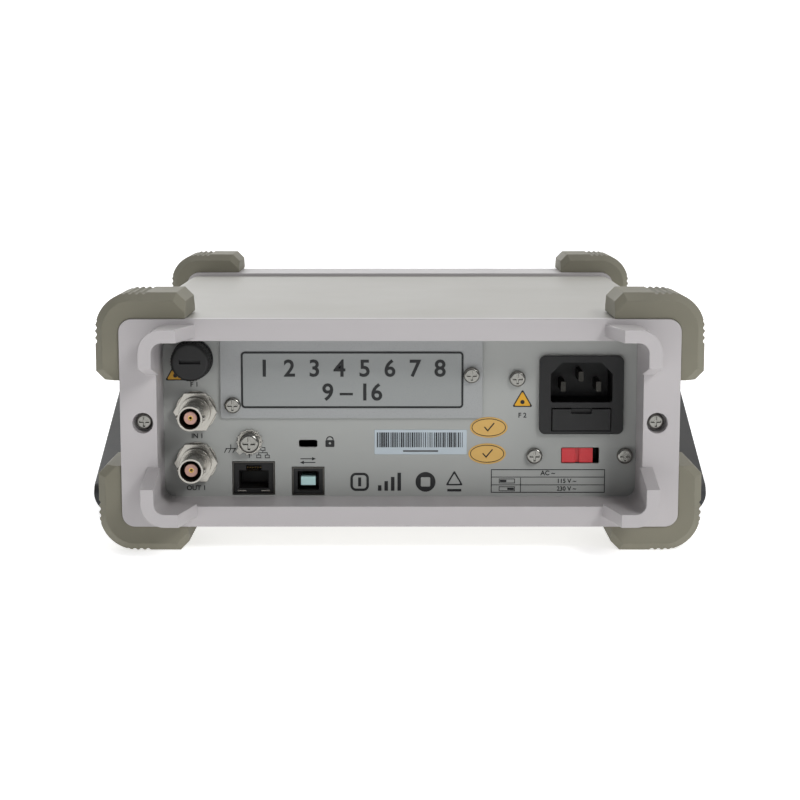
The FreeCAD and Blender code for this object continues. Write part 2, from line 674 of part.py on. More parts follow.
def make_rear_panel():
    """The sheet-metal rear panel with its openings."""
    panel = Piece("rear_panel")
    panel.pad("XZ", PANEL, D.panel_sheet, box_outline(
        -INSIDE + D.tray_sheet + D.fit_gap, INSIDE - D.tray_sheet - D.fit_gap,
        TRAY_TOP, INSIDE_TOP, D.corner_radius / 5,
    ))
    lap = D.option_lap
    depth = D.panel_sheet
    panel.pocket("XZ", PANEL, depth, box_outline(
        OPTION_RIGHT + lap * 1.5, OPTION_LEFT - lap * 2, OPTION_LOW + lap, OPTION_HIGH - lap, 2,
    ))
    panel.pocket("XZ", PANEL, depth, *[(D.bnc_x, z, D.bnc_shell + 0.1) for z in BNC_HEIGHTS])
    panel.pocket("XZ", PANEL, depth, (D.fuse_x, BOTTOM + D.fuse_z, D.fuse_bore + 1.6))
    panel.pocket("XZ", PANEL, depth, (D.ground_x, BOTTOM + D.ground_z, D.screw_radius + 0.6))
    gap = 0.2
    panel.pocket(
        "XZ", PANEL, depth,
        port_outline(D.lan_x, BOTTOM + D.lan_z, D.lan_width, D.lan_height, gap),
        port_outline(D.usb_x, BOTTOM + D.usb_z, D.usb_width, D.usb_height, gap),
        centred(D.lock_x, BOTTOM + D.lock_z, D.lock_width, D.lock_height, 0.8),
    )
    lap = D.inlet_lap - 0.2
    panel.pocket("XZ", PANEL, depth, box_outline(
        INLET_X - D.inlet_width / 2 + lap, INLET_X + D.inlet_width / 2 - lap,
        INLET_LOW + lap / 3, INLET_LOW + D.inlet_height - lap / 3, 1,
    ))
    panel.pocket("XZ", PANEL, depth, centred(
        -D.selector_x, BOTTOM + D.selector_z, D.selector_width, D.selector_height, 0.6,
    ))
    holes = [(x, z, D.screw_radius + 0.1) for x, z in PANEL_SCREWS + OPTION_SCREWS + FRAME_SCREWS]
    panel.pocket("XZ", PANEL, depth, *holes)


def make_option_cover():
    """The blank plate over the option-card slot."""
    cover = Piece("option_cover")
    cover.pad("XZ", PANEL + D.option_sheet, D.option_sheet, box_outline(
        OPTION_RIGHT, OPTION_LEFT, OPTION_LOW, OPTION_HIGH, 1.6,
    ))
    holes = [(x, z, D.screw_radius + 0.1) for x, z in OPTION_SCREWS]
    cover.pocket("XZ", PANEL + D.option_sheet, D.option_sheet, *holes)


def screws(label, places, seat, head, length, thread):
    """Pan-head machine screws along Y, as separate solids in one node; seat is the Y of the head's face."""
    group = Piece(label)
    tall = head * 0.7
    group.pad("XZ", seat, length, *[(x, z, thread) for x, z in places])
    group.pad("XZ", seat + tall, tall, *[(x, z, head) for x, z in places])

    def top_edge(edge):
        return edge.BoundBox.YLength < 0.01 and abs(edge.BoundBox.Center.y - (seat + tall).number) < 0.01

    group.soften("Fillet", tall * 0.45, top_edge)
    arm = head * 0.62
    slots = []
    for x, z in places:
        slots.append(centred(x, z, arm * 2, head * 0.26))
    group.pocket("XZ", seat + tall, tall * 0.55, *slots)
    group.pocket("XZ", seat + tall, tall * 0.55, *[centred(x, z, head * 0.26, arm * 2) for x, z in places])


def make_screws():
    """Screws of the panel, the option plate and the rear frame."""
    head, length, thread = D.screw_head, D.screw_length, D.screw_radius
    screws("option_cover_screws", OPTION_SCREWS, PANEL + D.option_sheet, head, length, thread)
    screws("rear_panel_screws", PANEL_SCREWS, PANEL, head, length, thread)
    seat = REAR - D.frame_screw_seat
    screws("rear_frame_screws", FRAME_SCREWS, seat, D.screw_head, D.frame_screw_length, D.screw_radius)


def hexagon(x, z, flats):
    """A nut's outline by its size across flats."""
    corner = flats / math.sqrt(3)
    angles = [math.radians(60 * i) for i in range(6)]
    return [(x + corner * math.cos(a), z + corner * math.sin(a), 0) for a in angles]


def make_signal_sockets():
    """Two bayonet signal sockets: barrels, nuts, insulators and contacts."""
    tip = PANEL + D.bnc_reach
    pin_tip = tip - D.bnc_mouth - 0.4
    shell = D.bnc_shell
    barrels = Piece("bnc_shells")
    nuts = Piece("bnc_nuts")
    insulators = Piece("bnc_insulators")
    contacts = Piece("bnc_contacts")
    for z in BNC_HEIGHTS:
        barrels.turn(D.bnc_x, z, [
            (PANEL - 9, 2.7, 0), (PANEL + 5.5, 2.7, 0),
            (PANEL + 5.5, shell - D.bnc_wall, 0), (tip, shell - D.bnc_wall, 0), (tip, shell, 0),
            (PANEL + 6.4, shell, 0), (PANEL + 6.4, shell + 1.3, 0), (PANEL + 4.2, shell + 1.3, 0),
            (PANEL + 4.2, shell - 0.1, 0), (PANEL - 1.8, shell - 0.1, 0), (PANEL - 1.8, shell + 2, 0),
            (PANEL - 3.6, shell + 2, 0), (PANEL - 3.6, shell - 0.1, 0), (PANEL - 9, shell - 0.1, 0),
        ])
        for side in (-1, 1):
            start = D.bnc_x + shell - 0.3 if side > 0 else D.bnc_x - shell - 0.7
            barrels.pad("YZ", start, D.bnc_lug, (tip - 3, z, D.bnc_lug))
        bore = (D.bnc_x, z, shell)
        nut_face = PANEL + D.bnc_washer + D.bnc_nut_depth
        nuts.pad("XZ", nut_face, D.bnc_nut_depth, hexagon(D.bnc_x, z, D.bnc_nut), bore)
        nuts.pad("XZ", PANEL + D.bnc_washer, D.bnc_washer, (D.bnc_x, z, D.bnc_nut / 2 + 0.6), bore)
        insulators.turn(D.bnc_x, z, [
            (PANEL - 8, 1, 0), (tip - D.bnc_mouth, 1, 0), (tip - D.bnc_mouth, 2.5, 0), (PANEL - 8, 2.5, 0),
        ])
        contacts.turn(D.bnc_x, z, [
            (PANEL - 12, 0, 0), (PANEL + 4, 0, 0), (PANEL + 4, 0.55, 0), (pin_tip, 0.55, 0),
            (pin_tip, 0.95, 0), (PANEL - 12, 0.95, 0),
        ])


def make_current_fuse():
    """The panel fuse holder, its carrier, its quarter-turn cap and the cartridge fuse inside."""
    x, z = D.fuse_x, BOTTOM + D.fuse_z
    bore = D.fuse_bore
    cap = D.fuse_cap_radius
    length = D.fuse_holder_length
    Piece("fuse_holder").turn(x, z, [
        (PANEL - length, 0, 0), (PANEL - length + 1.5, 0, 0), (PANEL - length + 1.5, bore, 0),
        (PANEL + 2, bore, 0), (PANEL + 2, cap + 0.6, 0), (PANEL, cap + 0.6, 0),
        (PANEL, bore + 1.5, 0), (PANEL - length, bore + 1.5, 0),
    ])
    carrier = Piece("fuse_carrier")
    carrier.turn(x, z, [
        (PANEL - 30, bore - 1.4, 0), (PANEL - 4, bore - 1.4, 0), (PANEL - 4, 0, 0), (PANEL + 5, 0, 0),
        (PANEL + 5, bore - 2, 0), (PANEL + 1.5, bore - 2, 0), (PANEL + 1.5, bore - D.fit_gap, 0),
        (PANEL - 30, bore - D.fit_gap, 0),
    ])
    Piece("current_fuse").turn(x, z, [
        (PANEL - 36.4, 0, 0), (PANEL - 4.4, 0, 0), (PANEL - 4.4, 3.1, 0), (PANEL - 10.4, 3.1, 0),
        (PANEL - 10.4, 2.9, 0), (PANEL - 30.4, 2.9, 0), (PANEL - 30.4, 3.1, 0), (PANEL - 36.4, 3.1, 0),
    ])
    top = Piece("fuse_cap")
    face = PANEL + 2 + D.fit_gap + D.fuse_cap_length
    top.turn(x, z, [
        (PANEL + 2 + D.fit_gap, bore - 1.9, 0), (PANEL + 5.4, bore - 1.9, 0), (PANEL + 5.4, 0, 0),
        (face, 0, 0), (face, cap, 1.2), (PANEL + 2 + D.fit_gap, cap, 0),
    ])
    top.pocket("XZ", face, D.fuse_slot_depth, centred(x, z, cap * 1.1, D.fuse_slot_width))


def make_ground_terminal():
    """The chassis ground screw with its washer and solder lug."""
    x, z = D.ground_x, BOTTOM + D.ground_z
    seat = PANEL + D.lug_sheet + D.washer_sheet
    screws("ground_screw", ((x, z),), seat, D.ground_head, D.ground_length, D.ground_thread)
    lug = Piece("ground_lug")
    lug.pad("XZ", PANEL + D.lug_sheet, D.lug_sheet, (x, z, D.lug_radius), (x, z, D.ground_thread))
    lug.pad("XZ", seat, D.washer_sheet, (x, z, D.washer_radius), (x, z, D.ground_thread))


def open_can(label, x, z, width, height, wall, front):
    """A folded metal port shell, open to the rear of the instrument."""
    can = Piece(label)
    can.pad("XZ", front, D.port_depth, centred(x, z, width, height))
    can.pocket("XZ", front, D.port_depth - wall, centred(x, z, width - wall * 2, height - wall * 2))
    return can


def make_ports():
    """The network socket and the square data socket behind the panel."""
    x, z = D.lan_x, BOTTOM + D.lan_z
    front = PANEL + D.port_proud
    mouth = front - D.port_inset
    length = D.port_depth - 2
    open_can("lan_shield", x, z, D.lan_width, D.lan_height, D.lan_wall, front)
    insert = Piece("lan_insert")
    width, height = D.lan_width - D.lan_wall * 2, D.lan_height - D.lan_wall * 2
    insert.pad("XZ", mouth, length, centred(x, z, width, height))
    insert.pocket("XZ", mouth, D.plug_depth, centred(x, z - 0.6, D.plug_width, D.plug_height))
    insert.pocket("XZ", mouth, D.plug_depth, centred(x, z + 3.8, D.latch_width, D.latch_height))
    x, z = D.usb_x, BOTTOM + D.usb_z
    open_can("usb_shell", x, z, D.usb_width, D.usb_height, D.usb_wall, front)
    tongue = Piece("usb_tongue")
    width, height = D.usb_width - D.usb_wall * 2, D.usb_height - D.usb_wall * 2
    tongue.pad("XZ", mouth, length, centred(x, z, width, height))
    tongue.pocket(
        "XZ", mouth, D.usb_mouth_depth,
        centred(x, z, D.usb_mouth_width, D.usb_mouth_height, 0.6),
        centred(x, z, D.usb_tongue_width, D.usb_tongue_height),
    )


def make_mains_inlet():
    """The three-pin mains inlet with its fuse drawer."""
    face = PANEL + D.inlet_flange
    body = Piece("inlet_body")
    half = D.inlet_width / 2
    lap = D.inlet_lap
    body.pad("XZ", face, D.inlet_flange, box_outline(
        INLET_X - half, INLET_X + half, INLET_LOW, INLET_LOW + D.inlet_height, 2.4,
    ))
    body.pad("XZ", PANEL, D.inlet_depth, box_outline(
        INLET_X - half + lap, INLET_X + half - lap,
        INLET_LOW + lap / 3, INLET_LOW + D.inlet_height - lap / 3, 1,
    ))
    low, high = SOCKET_LOW, SOCKET_LOW + D.socket_height
    left, right = INLET_X - D.socket_width / 2, INLET_X + D.socket_width / 2
    cut = 4.5
    body.pocket("XZ", face, D.socket_depth, [
        (left, low, 1), (right, low, 1), (right, high - cut, 0.8),
        (right - cut, high, 0.8), (left + cut, high, 0.8), (left, high - cut, 0.8),
    ])
    gap = D.fit_gap
    body.pocket("XZ", face, D.drawer_depth + 1, box_outline(
        INLET_X - D.drawer_width / 2 - gap, INLET_X + D.drawer_width / 2 + gap,
        DRAWER_LOW - gap, DRAWER_LOW + D.drawer_height + gap,
    ))
    pins = Piece("inlet_pins")
    middle = SOCKET_LOW + D.socket_height / 2
    for step, rise in ((0, D.pin_rise), (1, -D.pin_rise), (-1, -D.pin_rise)):
        pin = centred(INLET_X + D.pin_pitch * step, middle + rise, D.pin_width, D.pin_height, 0.4)
        pins.pad("XZ", face - D.pin_inset, D.inlet_depth + 4, pin)
    make_inlet_drawer(face)


def make_inlet_drawer(face):
    """The drawer below the mains socket and the cartridge fuse that it carries."""
    drawer = Piece("inlet_fuse_drawer")
    low = DRAWER_LOW
    front = face + D.drawer_proud
    top = low + D.drawer_height
    drawer.pad("XZ", front, D.drawer_depth, box_outline(
        INLET_X - D.drawer_width / 2, INLET_X + D.drawer_width / 2, low, top,
    ))
    drawer.pocket("XZ", front, D.finger_depth, box_outline(
        INLET_X - D.finger_width / 2, INLET_X + D.finger_width / 2, top - D.finger_height, top,
    ))
    fuse_y = face - D.drawer_depth + 6
    half = D.mains_fuse_length / 2
    drawer.pocket("XY", low + 1.4, D.drawer_height, box_outline(
        INLET_X - half - 0.3, INLET_X + half + 0.3, fuse_y - 3, fuse_y + 3,
    ))
    fuse = Piece("mains_fuse")
    z = low + 1.4 + 2.75
    fuse.pad("YZ", INLET_X - half, D.mains_fuse_length, (fuse_y, z, 2.4))
    for start in (INLET_X - half, INLET_X + half - D.mains_fuse_cap):
        fuse.pad("YZ", start, D.mains_fuse_cap, (fuse_y, z, 2.6))


def make_voltage_selector():
    """The recessed two-position voltage selector."""
    x, z = -D.selector_x, BOTTOM + D.selector_z
    back = PANEL_BACK
    body = Piece("selector_body")
    body.pad("XZ", back, D.selector_depth, centred(x, z, D.selector_width + 6, D.selector_height + 4, 0.6))
    body.pocket("XZ", back, D.selector_well, centred(x, z, D.selector_width, D.selector_height))
    slider = Piece("selector_slider")
    start = x + D.selector_width / 2 - D.fit_gap - D.slider_width
    height = D.selector_height - D.fit_gap * 2
    outline = box_outline(start, start + D.slider_width, z - height / 2, z + height / 2)
    front = PANEL - D.slider_inset
    slider.pad("XZ", front, D.slider_depth, outline)
    middle = start + D.slider_width / 2
    slider.pocket("XZ", front, D.slider_slot_depth, centred(middle, z, D.slider_slot_width, height + 1))


WINDOW_X, WINDOW_Z = D.window_x, BOTTOM + D.window_z
PLATE_BACK = BEZEL_FRONT + D.bezel_plate
KEY_BACK = PLATE_BACK + 1 + D.key_flange
BOARD_FRONT = KEY_BACK + D.key_travel + 5
SOFT_KEYS = 5
FUNCTION_KEYS = 6


def key_places():
    """Every front key: name, middle, width, height."""
    places = [("power_key", D.power_key_x, BOTTOM + D.power_key_z, D.power_key_side, D.power_key_side)]
    for i in range(SOFT_KEYS):
        x = WINDOW_X + D.soft_key_pitch * (i - (SOFT_KEYS - 1) / 2)
        places.append((f"soft_key_{i + 1}", x, BOTTOM + D.soft_key_z, D.soft_key_width, D.soft_key_height))
    for i in range(FUNCTION_KEYS):
        x = D.function_key_x + D.function_column * (i % 2)
        z = BOTTOM + D.function_key_z - D.function_row * (i // 2)
        places.append((f"function_key_{i + 1}", x, z, D.function_key_width, D.function_key_height))
    return places


def jack_places():
    """Test sockets: the red column with its current socket, then the black column."""
    high = BOTTOM + D.jack_z
    red = [(D.jack_x + D.jack_pitch, high - D.jack_pitch * step) for step in (0, 1)]
    red.append((D.jack_x, high - D.jack_pitch * 2.2))
    black = [(D.jack_x, high - D.jack_pitch * step) for step in (0, 1)]
    black.append((D.jack_x + D.jack_pitch, high - D.jack_pitch * 2.2))
    return red, black


def make_front_bezel():
    """The front moulding: side walls and a front plate with every opening."""
    bezel = Piece("front_bezel")
    wall = D.bezel_wall
    outer = box_outline(-HALF, HALF, BOTTOM, BEZEL_TOP, D.corner_radius)
    inner = box_outline(
        -HALF + wall, HALF - wall, BOTTOM + wall, BEZEL_TOP - wall, D.corner_radius - wall,
    )
    bezel.pad("XZ", BEZEL_BACK, D.bezel_depth, outer)
    bezel.pocket("XZ", BEZEL_BACK, D.bezel_depth - D.bezel_plate, inner)
    plate = D.bezel_plate
    ledge = D.window_ledge
    width, height = D.window_width, D.window_height
    window = centred(WINDOW_X, WINDOW_Z, width, height, 2)
    bezel.pocket("XZ", BEZEL_FRONT + D.window_sheet, D.window_sheet, window)
    bezel.pocket("XZ", PLATE_BACK, plate, centred(
        WINDOW_X, WINDOW_Z, width - ledge * 2, height - ledge * 2, 1,
    ))
    gap = D.key_gap
    openings = [
        centred(x, z, wide + gap * 2, tall + gap * 2, 1.2 + gap) for _, x, z, wide, tall in key_places()
    ]
    bezel.pocket("XZ", PLATE_BACK, plate, *openings)
    red, black = jack_places()
    bezel.pocket("XZ", PLATE_BACK, plate, *[(x, z, D.jack_sleeve - 0.7) for x, z in red + black])
    host = centred(D.host_x, BOTTOM + D.host_z, D.host_width + 0.4, D.host_height + 0.4)
    bezel.pocket("XZ", PLATE_BACK, plate, host)
    bezel.soften("Fillet", 1.5, lambda edge: is_rim(edge, BEZEL_FRONT))


def is_rim(edge, level):
    """Whether an edge lies on the outer outline of a shell's end face."""
    box = edge.BoundBox
    flat = box.YLength < 0.01 and abs(box.Center.y - level.number) < 0.01
    reach = (HALF - D.corner_radius).number
    high, low = (BEZEL_TOP - 0.1).number, (BOTTOM + 0.1).number
    corner = abs(box.Center.x) > reach + 1 and box.XLength > 1
    outside = abs(box.Center.x) > (HALF - 0.1).number or not low <= box.Center.z <= high
    return flat and (outside or corner)


def make_keys():
    """Sprung front keys, each with a flange behind the plate and a stem towards its switch."""
    front = BEZEL_FRONT - D.key_proud
    for name, x, z, wide, tall in key_places():
        key = Piece(name)
        key.pad("XZ", KEY_BACK, KEY_BACK - front, centred(x, z, wide, tall, D.key_corner))
        flange = D.key_flange
        key.pad("XZ", KEY_BACK, flange, centred(x, z, wide + flange * 2, tall + flange * 2, D.key_corner))
        key.pad("XZ", KEY_BACK + D.key_stem, D.key_stem, centred(x, z, D.key_stem, D.key_stem))
        face = front.number

        def face_edge(edge):
            return edge.BoundBox.YLength < 0.01 and abs(edge.BoundBox.Center.y - face) < 0.01

        key.soften("Fillet", D.key_edge, face_edge)


def make_jacks():
    """Shrouded test sockets and their contacts."""
    front = BEZEL_FRONT - D.jack_proud
    back = front + D.jack_length
    red, black = jack_places()
    for label, places in (("jack_sleeves_red", red), ("jack_sleeves_black", black)):
        sleeves = Piece(label)
        for x, z in places:
            sleeves.turn(x, z, [
                (front, D.jack_throat, 0), (back, D.jack_throat, 0), (back, 3.1, 0),
                (back + 2, 3.1, 0), (back + 2, D.jack_sleeve - 0.8, 0),
                (BEZEL_FRONT, D.jack_sleeve - 0.8, 0), (BEZEL_FRONT, D.jack_sleeve + 1, 0),
                (BEZEL_FRONT - 0.8, D.jack_sleeve + 1, 0), (front, D.jack_sleeve, 0),
            ])
    contacts = Piece("jack_contacts")
    for x, z in red + black:
        contacts.turn(x, z, [
            (front + 1.5, D.jack_bore, 0), (front + 1.5, 3.1, 0), (back + 4, 3.1, 0),
            (back + 4, 0, 0), (back + 1.5, 0, 0), (back + 1.5, D.jack_bore, 0),
        ])


def make_display():
    """The display window and the module behind it."""
    gap = 0.2
    Piece("display_window").pad("XZ", BEZEL_FRONT + D.window_sheet, D.window_sheet, centred(
        WINDOW_X, WINDOW_Z, D.window_width - gap, D.window_height - gap, 2,
    ))
    Piece("display_module").pad("XZ", BOARD_FRONT, BOARD_FRONT - PLATE_BACK - gap, centred(
        WINDOW_X, WINDOW_Z, D.window_width, D.window_height - D.window_ledge,
    ))


def make_front_board():
    """The board behind the front plate, with holes for the test sockets."""
    board = Piece("front_board")
    board.pad("XZ", BOARD_FRONT + D.board_sheet, D.board_sheet, box_outline(
        -HALF + 8, HALF - 8, BOTTOM + 5, TOP - 6, 1,
    ))
    red, black = jack_places()
    board.pocket("XZ", BOARD_FRONT + D.board_sheet, D.board_sheet, *[
        (x, z, D.jack_sleeve - 0.5) for x, z in red + black
    ])
    host = centred(D.host_x, BOTTOM + D.host_z, D.host_width + 0.6, D.host_height + 0.6)
    board.pocket("XZ", BOARD_FRONT + D.board_sheet, D.board_sheet, host)


def make_host_port():
    """The front data socket: a metal shell with a tongue."""
    x, z = D.host_x, BOTTOM + D.host_z
    front = BEZEL_FRONT + 0.3
    port = Piece("usb_host_port")
    back = front + D.port_depth
    port.pad("XZ", back, D.port_depth, centred(x, z, D.host_width, D.host_height))
    port.pocket("XZ", back - 0.6, D.port_depth, centred(x, z, D.host_width - 1, D.host_height - 1))
    port.pad("XZ", back, D.port_depth - 2, centred(x, z + 1.5, D.host_width - 2.4, D.host_tongue))


def make_chassis_tray():
    """The folded tray that carries the boards, with side walls and board stand-offs."""
    tray = Piece("chassis_tray")
    front, rear = BEZEL_BACK + 2, PANEL_BACK - 0.2
    low = INSIDE_BOTTOM
    sheet = D.tray_sheet
    bend = D.corner_radius - D.cover_wall - D.fit_gap
    tray.pad("XZ", rear, rear - front, [
        (-INSIDE, low, bend), (INSIDE, low, bend), (INSIDE, low + D.tray_side, 0),
        (INSIDE - sheet, low + D.tray_side, 0), (INSIDE - sheet, low + sheet, bend - sheet),
        (-INSIDE + sheet, low + sheet, bend - sheet), (-INSIDE + sheet, low + D.tray_side, 0),
        (-INSIDE, low + D.tray_side, 0),
    ])
    tray.pad("XY", TRAY_TOP - 0.2, D.board_stand + 0.2, *[(x, y, 3) for x, y in stand_places()])


BOARD_LEFT, BOARD_RIGHT = -40, 98
BOARD_NEAR, BOARD_FAR = -95, 100


def stand_places():
    """Stand-offs under the main board."""
    inset = 6
    columns = (BOARD_LEFT + inset, BOARD_RIGHT - inset)
    rows = (BOARD_NEAR + inset, BOARD_FAR - inset)
    return [(x, y) for x in columns for y in rows]


def make_main_board():
    """The main board on its stand-offs."""
    Piece("main_board").pad("XY", TRAY_TOP + D.board_stand, D.board_sheet, box_outline(
        BOARD_LEFT, BOARD_RIGHT, BOARD_NEAR, BOARD_FAR, 1,
    ))


def make_transformer():
    """The mains transformer: a laminated core with its winding bobbin."""
    x, y = -72, 20
    base = TRAY_TOP + 0.2
    block = Piece("transformer")
    block.pad("XY", base, D.transformer_height, box_outline(x - 20, x + 20, y - 11, y + 11))
    block.pad("XY", base + 8, D.bobbin_height, box_outline(x - 13, x + 13, y - 20, y + 20, 3))


def write_parts():
    """Recomputes, checks every object and writes one file for each piece."""
    DOC.recompute()
    for thing in DOC.Objects:
        if "Invalid" in thing.State or "Error" in thing.State:
            raise RuntimeError(f"{thing.Label} failed: {thing.State}")
    for cut in CUTS:
        if not cut.Shape.Volume < cut.BaseFeature.Shape.Volume - 1e-3:
            raise RuntimeError(f"{cut.Label} cut nothing")
    os.makedirs("parts", exist_ok=True)
    for piece in PIECES:
        shape = piece.Shape
        if shape.isNull() or not shape.isValid() or not shape.Solids:
            raise RuntimeError(f"{piece.Label} has no sound solid")
        shape.exportStep(os.path.join("parts", f"{piece.Label}.step"))
        print(f"{piece.Label}: {len(shape.Solids)} solids, {shape.Volume / 1000:.1f} cm3")


for make in (
    make_cover_sleeve, make_rear_frame, make_bumpers, make_carry_handle, make_handle_pivots,
    make_rear_panel, make_option_cover, make_screws, make_signal_sockets, make_current_fuse,
    make_ground_terminal, make_ports, make_mains_inlet, make_voltage_selector,
    make_front_bezel, make_keys, make_jacks, make_display, make_front_board, make_host_port,
    make_chassis_tray, make_main_board, make_transformer,
):
    make()
write_parts()
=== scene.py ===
import math

import bmesh
import bpy
from mathutils import Matrix, Vector


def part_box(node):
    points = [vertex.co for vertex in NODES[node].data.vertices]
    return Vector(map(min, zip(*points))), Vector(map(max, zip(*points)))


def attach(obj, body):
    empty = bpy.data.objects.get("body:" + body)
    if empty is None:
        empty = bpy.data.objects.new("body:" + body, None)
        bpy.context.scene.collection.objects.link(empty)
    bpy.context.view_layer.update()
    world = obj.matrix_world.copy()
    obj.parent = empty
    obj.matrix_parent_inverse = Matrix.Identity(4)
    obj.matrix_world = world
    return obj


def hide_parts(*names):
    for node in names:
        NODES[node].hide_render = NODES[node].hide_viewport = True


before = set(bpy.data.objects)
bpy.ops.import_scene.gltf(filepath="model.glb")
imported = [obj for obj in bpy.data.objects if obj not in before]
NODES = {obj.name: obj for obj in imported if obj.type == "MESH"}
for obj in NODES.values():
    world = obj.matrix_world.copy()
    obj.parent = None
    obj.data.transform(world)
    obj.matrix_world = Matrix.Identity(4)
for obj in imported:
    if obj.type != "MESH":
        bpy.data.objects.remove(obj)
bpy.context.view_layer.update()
MM = 0.001

# Faces that prints and stickers sit on, and the body's bottom, read from the frame
PANEL_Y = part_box("rear_panel")[1].y
PLATE_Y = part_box("option_cover")[1].y
BEZEL_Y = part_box("front_bezel")[0].y
BODY_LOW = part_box("rear_frame")[0].z

# How a flat print, drawn to be read, turns to stand on the rear or the front
RIGHT_WAY = {
    "rear": Matrix(((-1, 0, 0), (0, 0, 1), (0, 1, 0))),
    "front": Matrix(((1, 0, 0), (0, 0, -1), (0, 1, 0))),
}
INK_DEPTH = 0.06 * MM
STICKER_DEPTH = 0.1 * MM
LABEL_DEPTH = 0.12 * MM
MERGE_GAP = 0.001 * MM  # points of one print that are closer than this are one
LETTER_WEIGHT = 0.02  # how much the lettering is thickened, as a share of its size


def colour(code):
    """A display colour such as A9A79F as a linear one."""
    values = [int(code[i:i + 2], 16) / 255 for i in (0, 2, 4)]
    return (*[v / 12.92 if v <= 0.04045 else ((v + 0.055) / 1.055) ** 2.4 for v in values], 1)


# ---------------------------------------------------------------- shader groups

def new_group(name, inputs, outputs):
    """A shader node group with named value, colour or vector sockets."""
    group = bpy.data.node_groups.new(name, "ShaderNodeTree")
    for label, kind, default in inputs:
        socket = group.interface.new_socket(label, in_out="INPUT", socket_type=f"NodeSocket{kind}")
        socket.default_value = default
    for label, kind in outputs:
        group.interface.new_socket(label, in_out="OUTPUT", socket_type=f"NodeSocket{kind}")
    return group, group.nodes.new("NodeGroupInput"), group.nodes.new("NodeGroupOutput")


def add(tree, kind, settings=None, **inputs):
    """A node with its properties and inputs set, by name or as i0, i1 and so on; a socket is linked."""
    node = tree.nodes.new(kind)
    for key, value in (settings or {}).items():
        setattr(node, key, value)
    for key, value in inputs.items():
        by_number = key[0] == "i" and key[1:].isdigit()
        socket = node.inputs[int(key[1:]) if by_number else key.replace("_", " ")]
        if isinstance(value, bpy.types.NodeSocket):
            tree.links.new(value, socket)
        else:
            socket.default_value = value
    return node


def maths(tree, operation, first, second):
    """The result of one sum on two values or sockets."""
    return add(tree, "ShaderNodeMath", {"operation": operation}, i0=first, i1=second).outputs[0]


def map_range(tree, value, low_in, high_in, low_out=0.0, high_out=1.0):
    """A value moved from one range to another, and kept inside it."""
    node = add(tree, "ShaderNodeMapRange", None, Value=value)
    for index, limit in enumerate((low_in, high_in, low_out, high_out), 1):
        node.inputs[index].default_value = limit
    return node.outputs[0]


def make_grain_group():
    """Fine grain for bump and slow mottling for colour, both in object space."""
    group, start, end = new_group(
        "surface grain",
        [("Grain size", "Float", 0.0008), ("Mottle size", "Float", 0.03), ("Stretch", "Vector", (1, 1, 1))],
        [("Height", "Float"), ("Mottle", "Float"), ("Speck", "Float")],
    )
    place = add(group, "ShaderNodeTexCoord")
    stretched = add(
        group, "ShaderNodeVectorMath", {"operation": "MULTIPLY"},
        i0=place.outputs["Object"], i1=start.outputs["Stretch"],
    ).outputs[0]
    for label, size, detail in (("Height", "Grain size", 3), ("Mottle", "Mottle size", 4)):
        scale = maths(group, "DIVIDE", 1.0, start.outputs[size])
        noise = add(group, "ShaderNodeTexNoise", None, Vector=stretched, Scale=scale, Detail=detail)
        group.links.new(noise.outputs["Fac"], end.inputs[label])
    scale = maths(group, "DIVIDE", 1.0, start.outputs["Grain size"])
    cells = add(group, "ShaderNodeTexVoronoi", None, Vector=stretched, Scale=scale)
    group.links.new(cells.outputs["Distance"], end.inputs["Speck"])
    return group


def make_edge_group():
    """Rounded normals along edges and a broken mask of where those edges are."""
    group, start, end = new_group(
        "edge wear",
        [("Radius", "Float", 0.0004), ("Break size", "Float", 0.004)],
        [("Mask", "Float"), ("Normal", "Vector")],
    )
    bevel = add(group, "ShaderNodeBevel", {"samples": 4}, Radius=start.outputs["Radius"])
    flat = add(group, "ShaderNodeNewGeometry")
    facing = add(
        group, "ShaderNodeVectorMath", {"operation": "DOT_PRODUCT"},
        i0=bevel.outputs[0], i1=flat.outputs["Normal"],
    )
    bent = map_range(group, facing.outputs["Value"], 0.995, 0.8)
    place = add(group, "ShaderNodeTexCoord")
    scale = maths(group, "DIVIDE", 1.0, start.outputs["Break size"])
    noise = add(group, "ShaderNodeTexNoise", None, Vector=place.outputs["Object"], Scale=scale, Detail=3.0)
    broken = map_range(group, noise.outputs["Fac"], 0.42, 0.6)
    group.links.new(maths(group, "MULTIPLY", bent, broken), end.inputs["Mask"])
    group.links.new(bevel.outputs[0], end.inputs["Normal"])
    return group


def make_dust_group():
    """A thin film of dust on what faces up."""
    group, start, end = new_group("dust film", [("Amount", "Float", 0.3)], [("Mask", "Float")])
    flat = add(group, "ShaderNodeNewGeometry")
    split = add(group, "ShaderNodeSeparateXYZ", None, i0=flat.outputs["Normal"])
    up = map_range(group, split.outputs["Z"], 0.3, 1.0)
    place = add(group, "ShaderNodeTexCoord")
    noise = add(group, "ShaderNodeTexNoise", None, Vector=place.outputs["Object"], Scale=60.0, Detail=5.0)
    cloud = maths(group, "MULTIPLY", up, noise.outputs["Fac"])
    group.links.new(maths(group, "MULTIPLY", cloud, start.outputs["Amount"]), end.inputs["Mask"])
    return group


GRAIN = make_grain_group()
EDGES = make_edge_group()
DUST = make_dust_group()
DUST_COLOUR = "B9B4A8"


def mix(tree, factor, first, second):
    """A colour mix whose factor and colours are sockets or values."""
    node = add(tree, "ShaderNodeMix", {"data_type": "RGBA"})
    for index, value in ((0, factor), (6, first), (7, second)):
        if isinstance(value, bpy.types.NodeSocket):
            tree.links.new(value, node.inputs[index])
        else:
            node.inputs[index].default_value = value
    return node.outputs[2]


